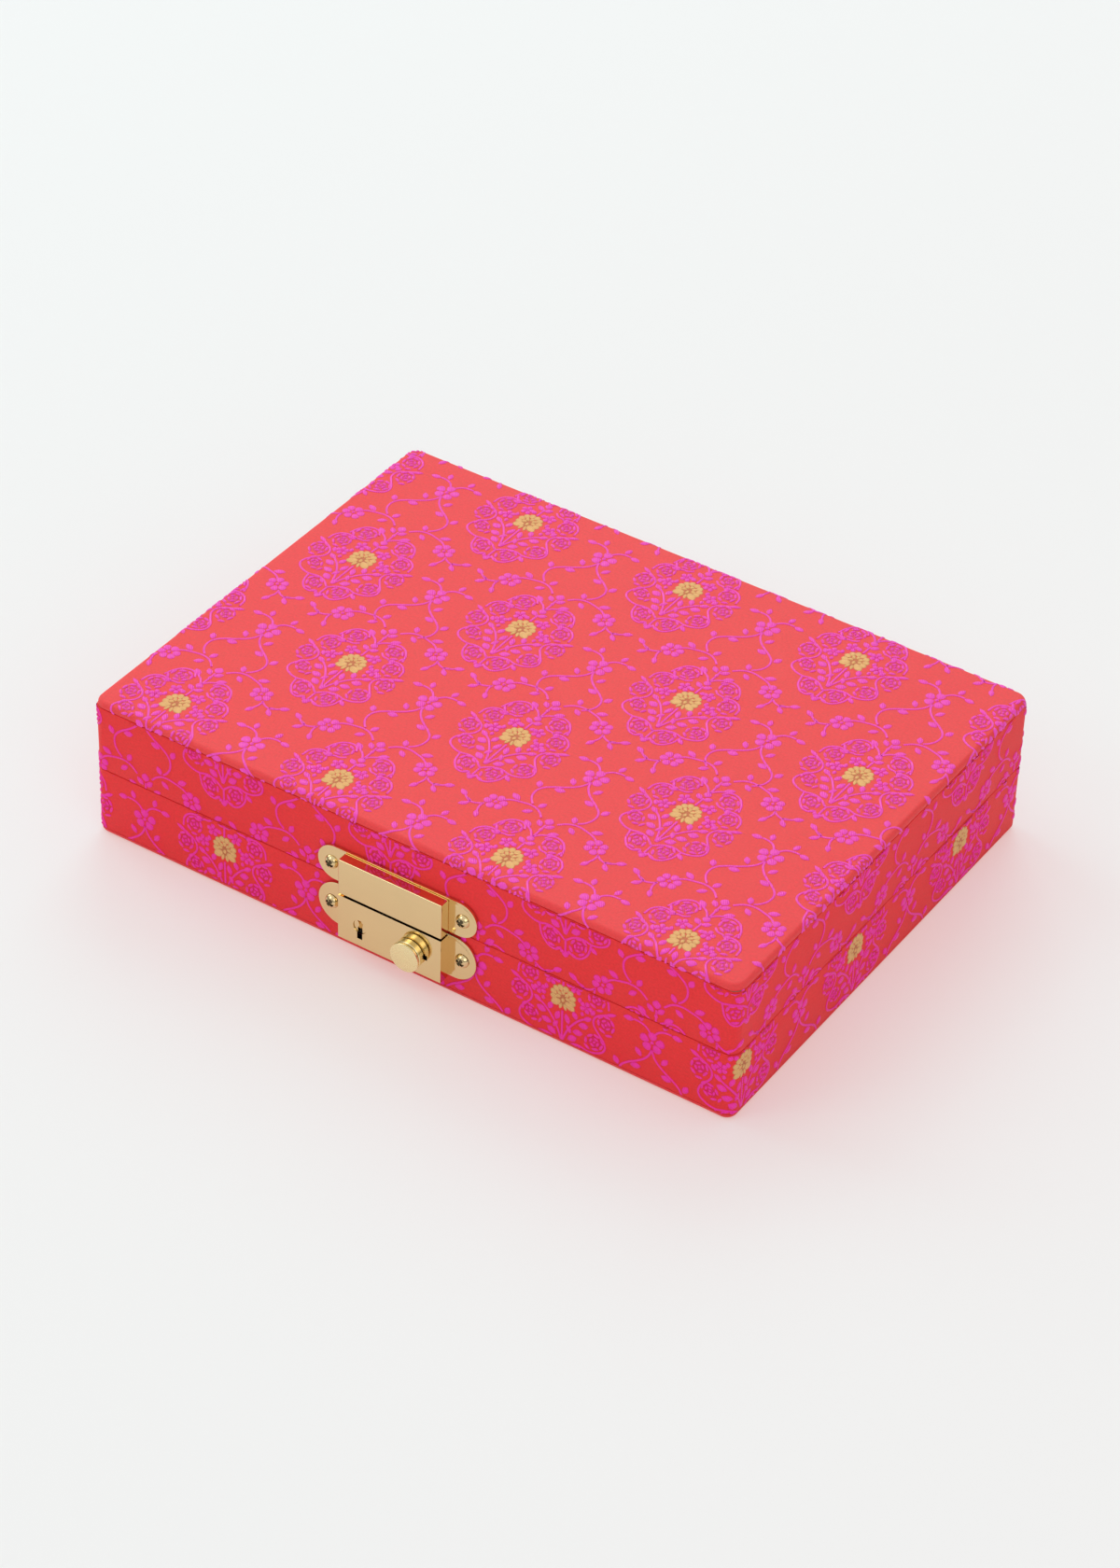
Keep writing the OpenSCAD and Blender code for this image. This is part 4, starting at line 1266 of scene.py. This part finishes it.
class CASE_OT_stage(bpy.types.Operator):
    """Sets the floor, the light and the camera"""

    bl_idname = "case.stage"
    bl_label = "Stage"

    def execute(self, context):
        stage = context.scene.case_stage
        context.scene.view_settings.view_transform = "Standard"
        self.floor(stage)
        self.sky(stage)
        self.lamps(stage)
        self.camera(stage)
        return {"FINISHED"}

    def floor(self, stage):
        """A wide pale table that keeps the shadow of the case, with painted red bounce light in it."""
        bm = bmesh.new()
        bmesh.ops.create_grid(bm, x_segments=1, y_segments=1, size=6.0)
        mesh = bpy.data.meshes.new("table")
        bm.to_mesh(mesh)
        bm.free()
        finish = Finish("pale_table", Roughness=0.75, Specular_IOR_Level=0.1, Emission_Strength=1.0)
        seen = finish.seen()
        # Far from the lamps the table is as pale as the wall behind it
        x, y, _ = finish.split(finish.object_place())
        far = (((x * x + y * y) ** 0.5 - 1.2) / 1.5).clamp()
        # Seen by the camera and in reflections the table glows. Near the case the glow is red heavy and paints red
        # bounce light into the case's shadow; far off it is even and pale.
        finish.set({
            "Base Color": finish.mix(seen, stage.floor, finish.mix(far, stage.floor_shade, (0.03, 0.03, 0.03))),
            "Emission Color": finish.mix(
                seen, (0.0, 0.0, 0.0), finish.mix(far, stage.floor_painted_glow, (0.86, 0.845, 0.84)))})
        mesh.materials.append(finish.material)
        table = bpy.data.objects.new("table", mesh)
        bpy.context.scene.collection.objects.link(table)

    def sky(self, stage):
        world = bpy.data.worlds.new("studio")
        world.use_nodes = True
        tree = world.node_tree
        light = tree.nodes["Background"]
        light.inputs["Color"].default_value = (1.0, 0.99, 0.98, 1.0)
        light.inputs["Strength"].default_value = stage.sky
        # Reflections see a bright ceiling over a darker band along the horizon
        backdrop = tree.nodes.new("ShaderNodeBackground")
        sight = tree.nodes.new("ShaderNodeTexCoord")
        axes = tree.nodes.new("ShaderNodeSeparateXYZ")
        tree.links.new(sight.outputs["Generated"], axes.inputs[0])
        height = tree.nodes.new("ShaderNodeMapRange")
        height.inputs["From Min"].default_value = 0.1
        height.inputs["From Max"].default_value = 0.45
        height.inputs["To Min"].default_value = 0.12
        height.inputs["To Max"].default_value = 1.0
        tree.links.new(axes.outputs["Z"], height.inputs["Value"])
        tree.links.new(height.outputs[0], backdrop.inputs["Strength"])
        path = tree.nodes.new("ShaderNodeLightPath")
        either = tree.nodes.new("ShaderNodeMath")
        either.operation = "MAXIMUM"
        tree.links.new(path.outputs["Is Camera Ray"], either.inputs[0])
        tree.links.new(path.outputs["Is Glossy Ray"], either.inputs[1])
        any_seen = tree.nodes.new("ShaderNodeMath")
        any_seen.operation = "MAXIMUM"
        tree.links.new(either.outputs[0], any_seen.inputs[0])
        tree.links.new(path.outputs["Is Transmission Ray"], any_seen.inputs[1])
        blend = tree.nodes.new("ShaderNodeMixShader")
        tree.links.new(any_seen.outputs[0], blend.inputs[0])
        tree.links.new(light.outputs[0], blend.inputs[1])
        tree.links.new(backdrop.outputs[0], blend.inputs[2])
        tree.links.new(blend.outputs[0], tree.nodes["World Output"].inputs["Surface"])
        bpy.context.scene.world = world

    def lamps(self, stage):
        """Large soft lamps on the left of the case and behind it, and smaller ones in front."""
        lamps = (("key", (-3.0, 0.3, 2.1), 2.2, stage.key), ("back", (-1.3, 2.6, 2.25), 2.2, stage.back),
                 ("fill", (2.1, -1.7, 1.4), 1.8, stage.fill), ("spark", (-0.85, -1.25, 1.35), 0.7, stage.spark))
        for name, place, size, power in lamps:
            lamp = bpy.data.lights.new(name, "AREA")
            lamp.shape = "SQUARE"
            lamp.size = size
            lamp.energy = power
            lamp.color = (1.0, 0.99, 0.97)
            holder = bpy.data.objects.new(name, lamp)
            holder.location = place
            holder.rotation_euler = (-holder.location).to_track_quat("-Z", "Y").to_euler()
            bpy.context.scene.collection.objects.link(holder)

    def camera(self, stage):
        data = bpy.data.cameras.new("camera")
        data.lens = stage.lens
        data.sensor_width = 36.0
        data.clip_start = 0.05
        data.clip_end = 50.0
        holder = bpy.data.objects.new("camera", data)
        aim = (Vector(stage.target) - Vector(stage.eye)).to_track_quat("-Z", "Y").to_matrix().to_4x4()
        holder.matrix_world = Matrix.Translation(stage.eye) @ aim @ Matrix.Rotation(stage.roll, 4, "Z")
        bpy.context.scene.collection.objects.link(holder)
        bpy.context.scene.camera = holder


class CASE_PT_sidebar(bpy.types.Panel):
    """Lists the pieces of the case in the 3D view's sidebar."""

    bl_idname = "CASE_PT_sidebar"
    bl_label = "Keepsake case"
    bl_space_type = "VIEW_3D"
    bl_region_type = "UI"
    bl_category = "Keepsake case"

    def draw(self, context):
        for operator in OPERATORS:
            self.layout.operator(operator.bl_idname)
        for settings in (context.scene.case_cloth, context.scene.case_metal, context.scene.case_stage):
            for name in settings.__annotations__:
                self.layout.prop(settings, name)


SETTINGS = {"case_cloth": ClothSettings, "case_metal": MetalSettings, "case_stage": StageSettings}
OPERATORS = (
    CASE_OT_stage, CASE_OT_panels, CASE_OT_bands, CASE_OT_lining, CASE_OT_boards, CASE_OT_lock, CASE_OT_knob,
    CASE_OT_works, CASE_OT_hinges)


def register():
    for kind in (*SETTINGS.values(), *OPERATORS, CASE_PT_sidebar):
        bpy.utils.register_class(kind)
    for name, kind in SETTINGS.items():
        setattr(bpy.types.Scene, name, PointerProperty(type=kind))


def unregister():
    for name in SETTINGS:
        delattr(bpy.types.Scene, name)
    for kind in reversed((*SETTINGS.values(), *OPERATORS, CASE_PT_sidebar)):
        bpy.utils.unregister_class(kind)


def main():
    register()
    for operator in OPERATORS:
        family, name = operator.bl_idname.split(".")
        getattr(getattr(bpy.ops, family), name)()


if __name__ == "__main__":
    main()
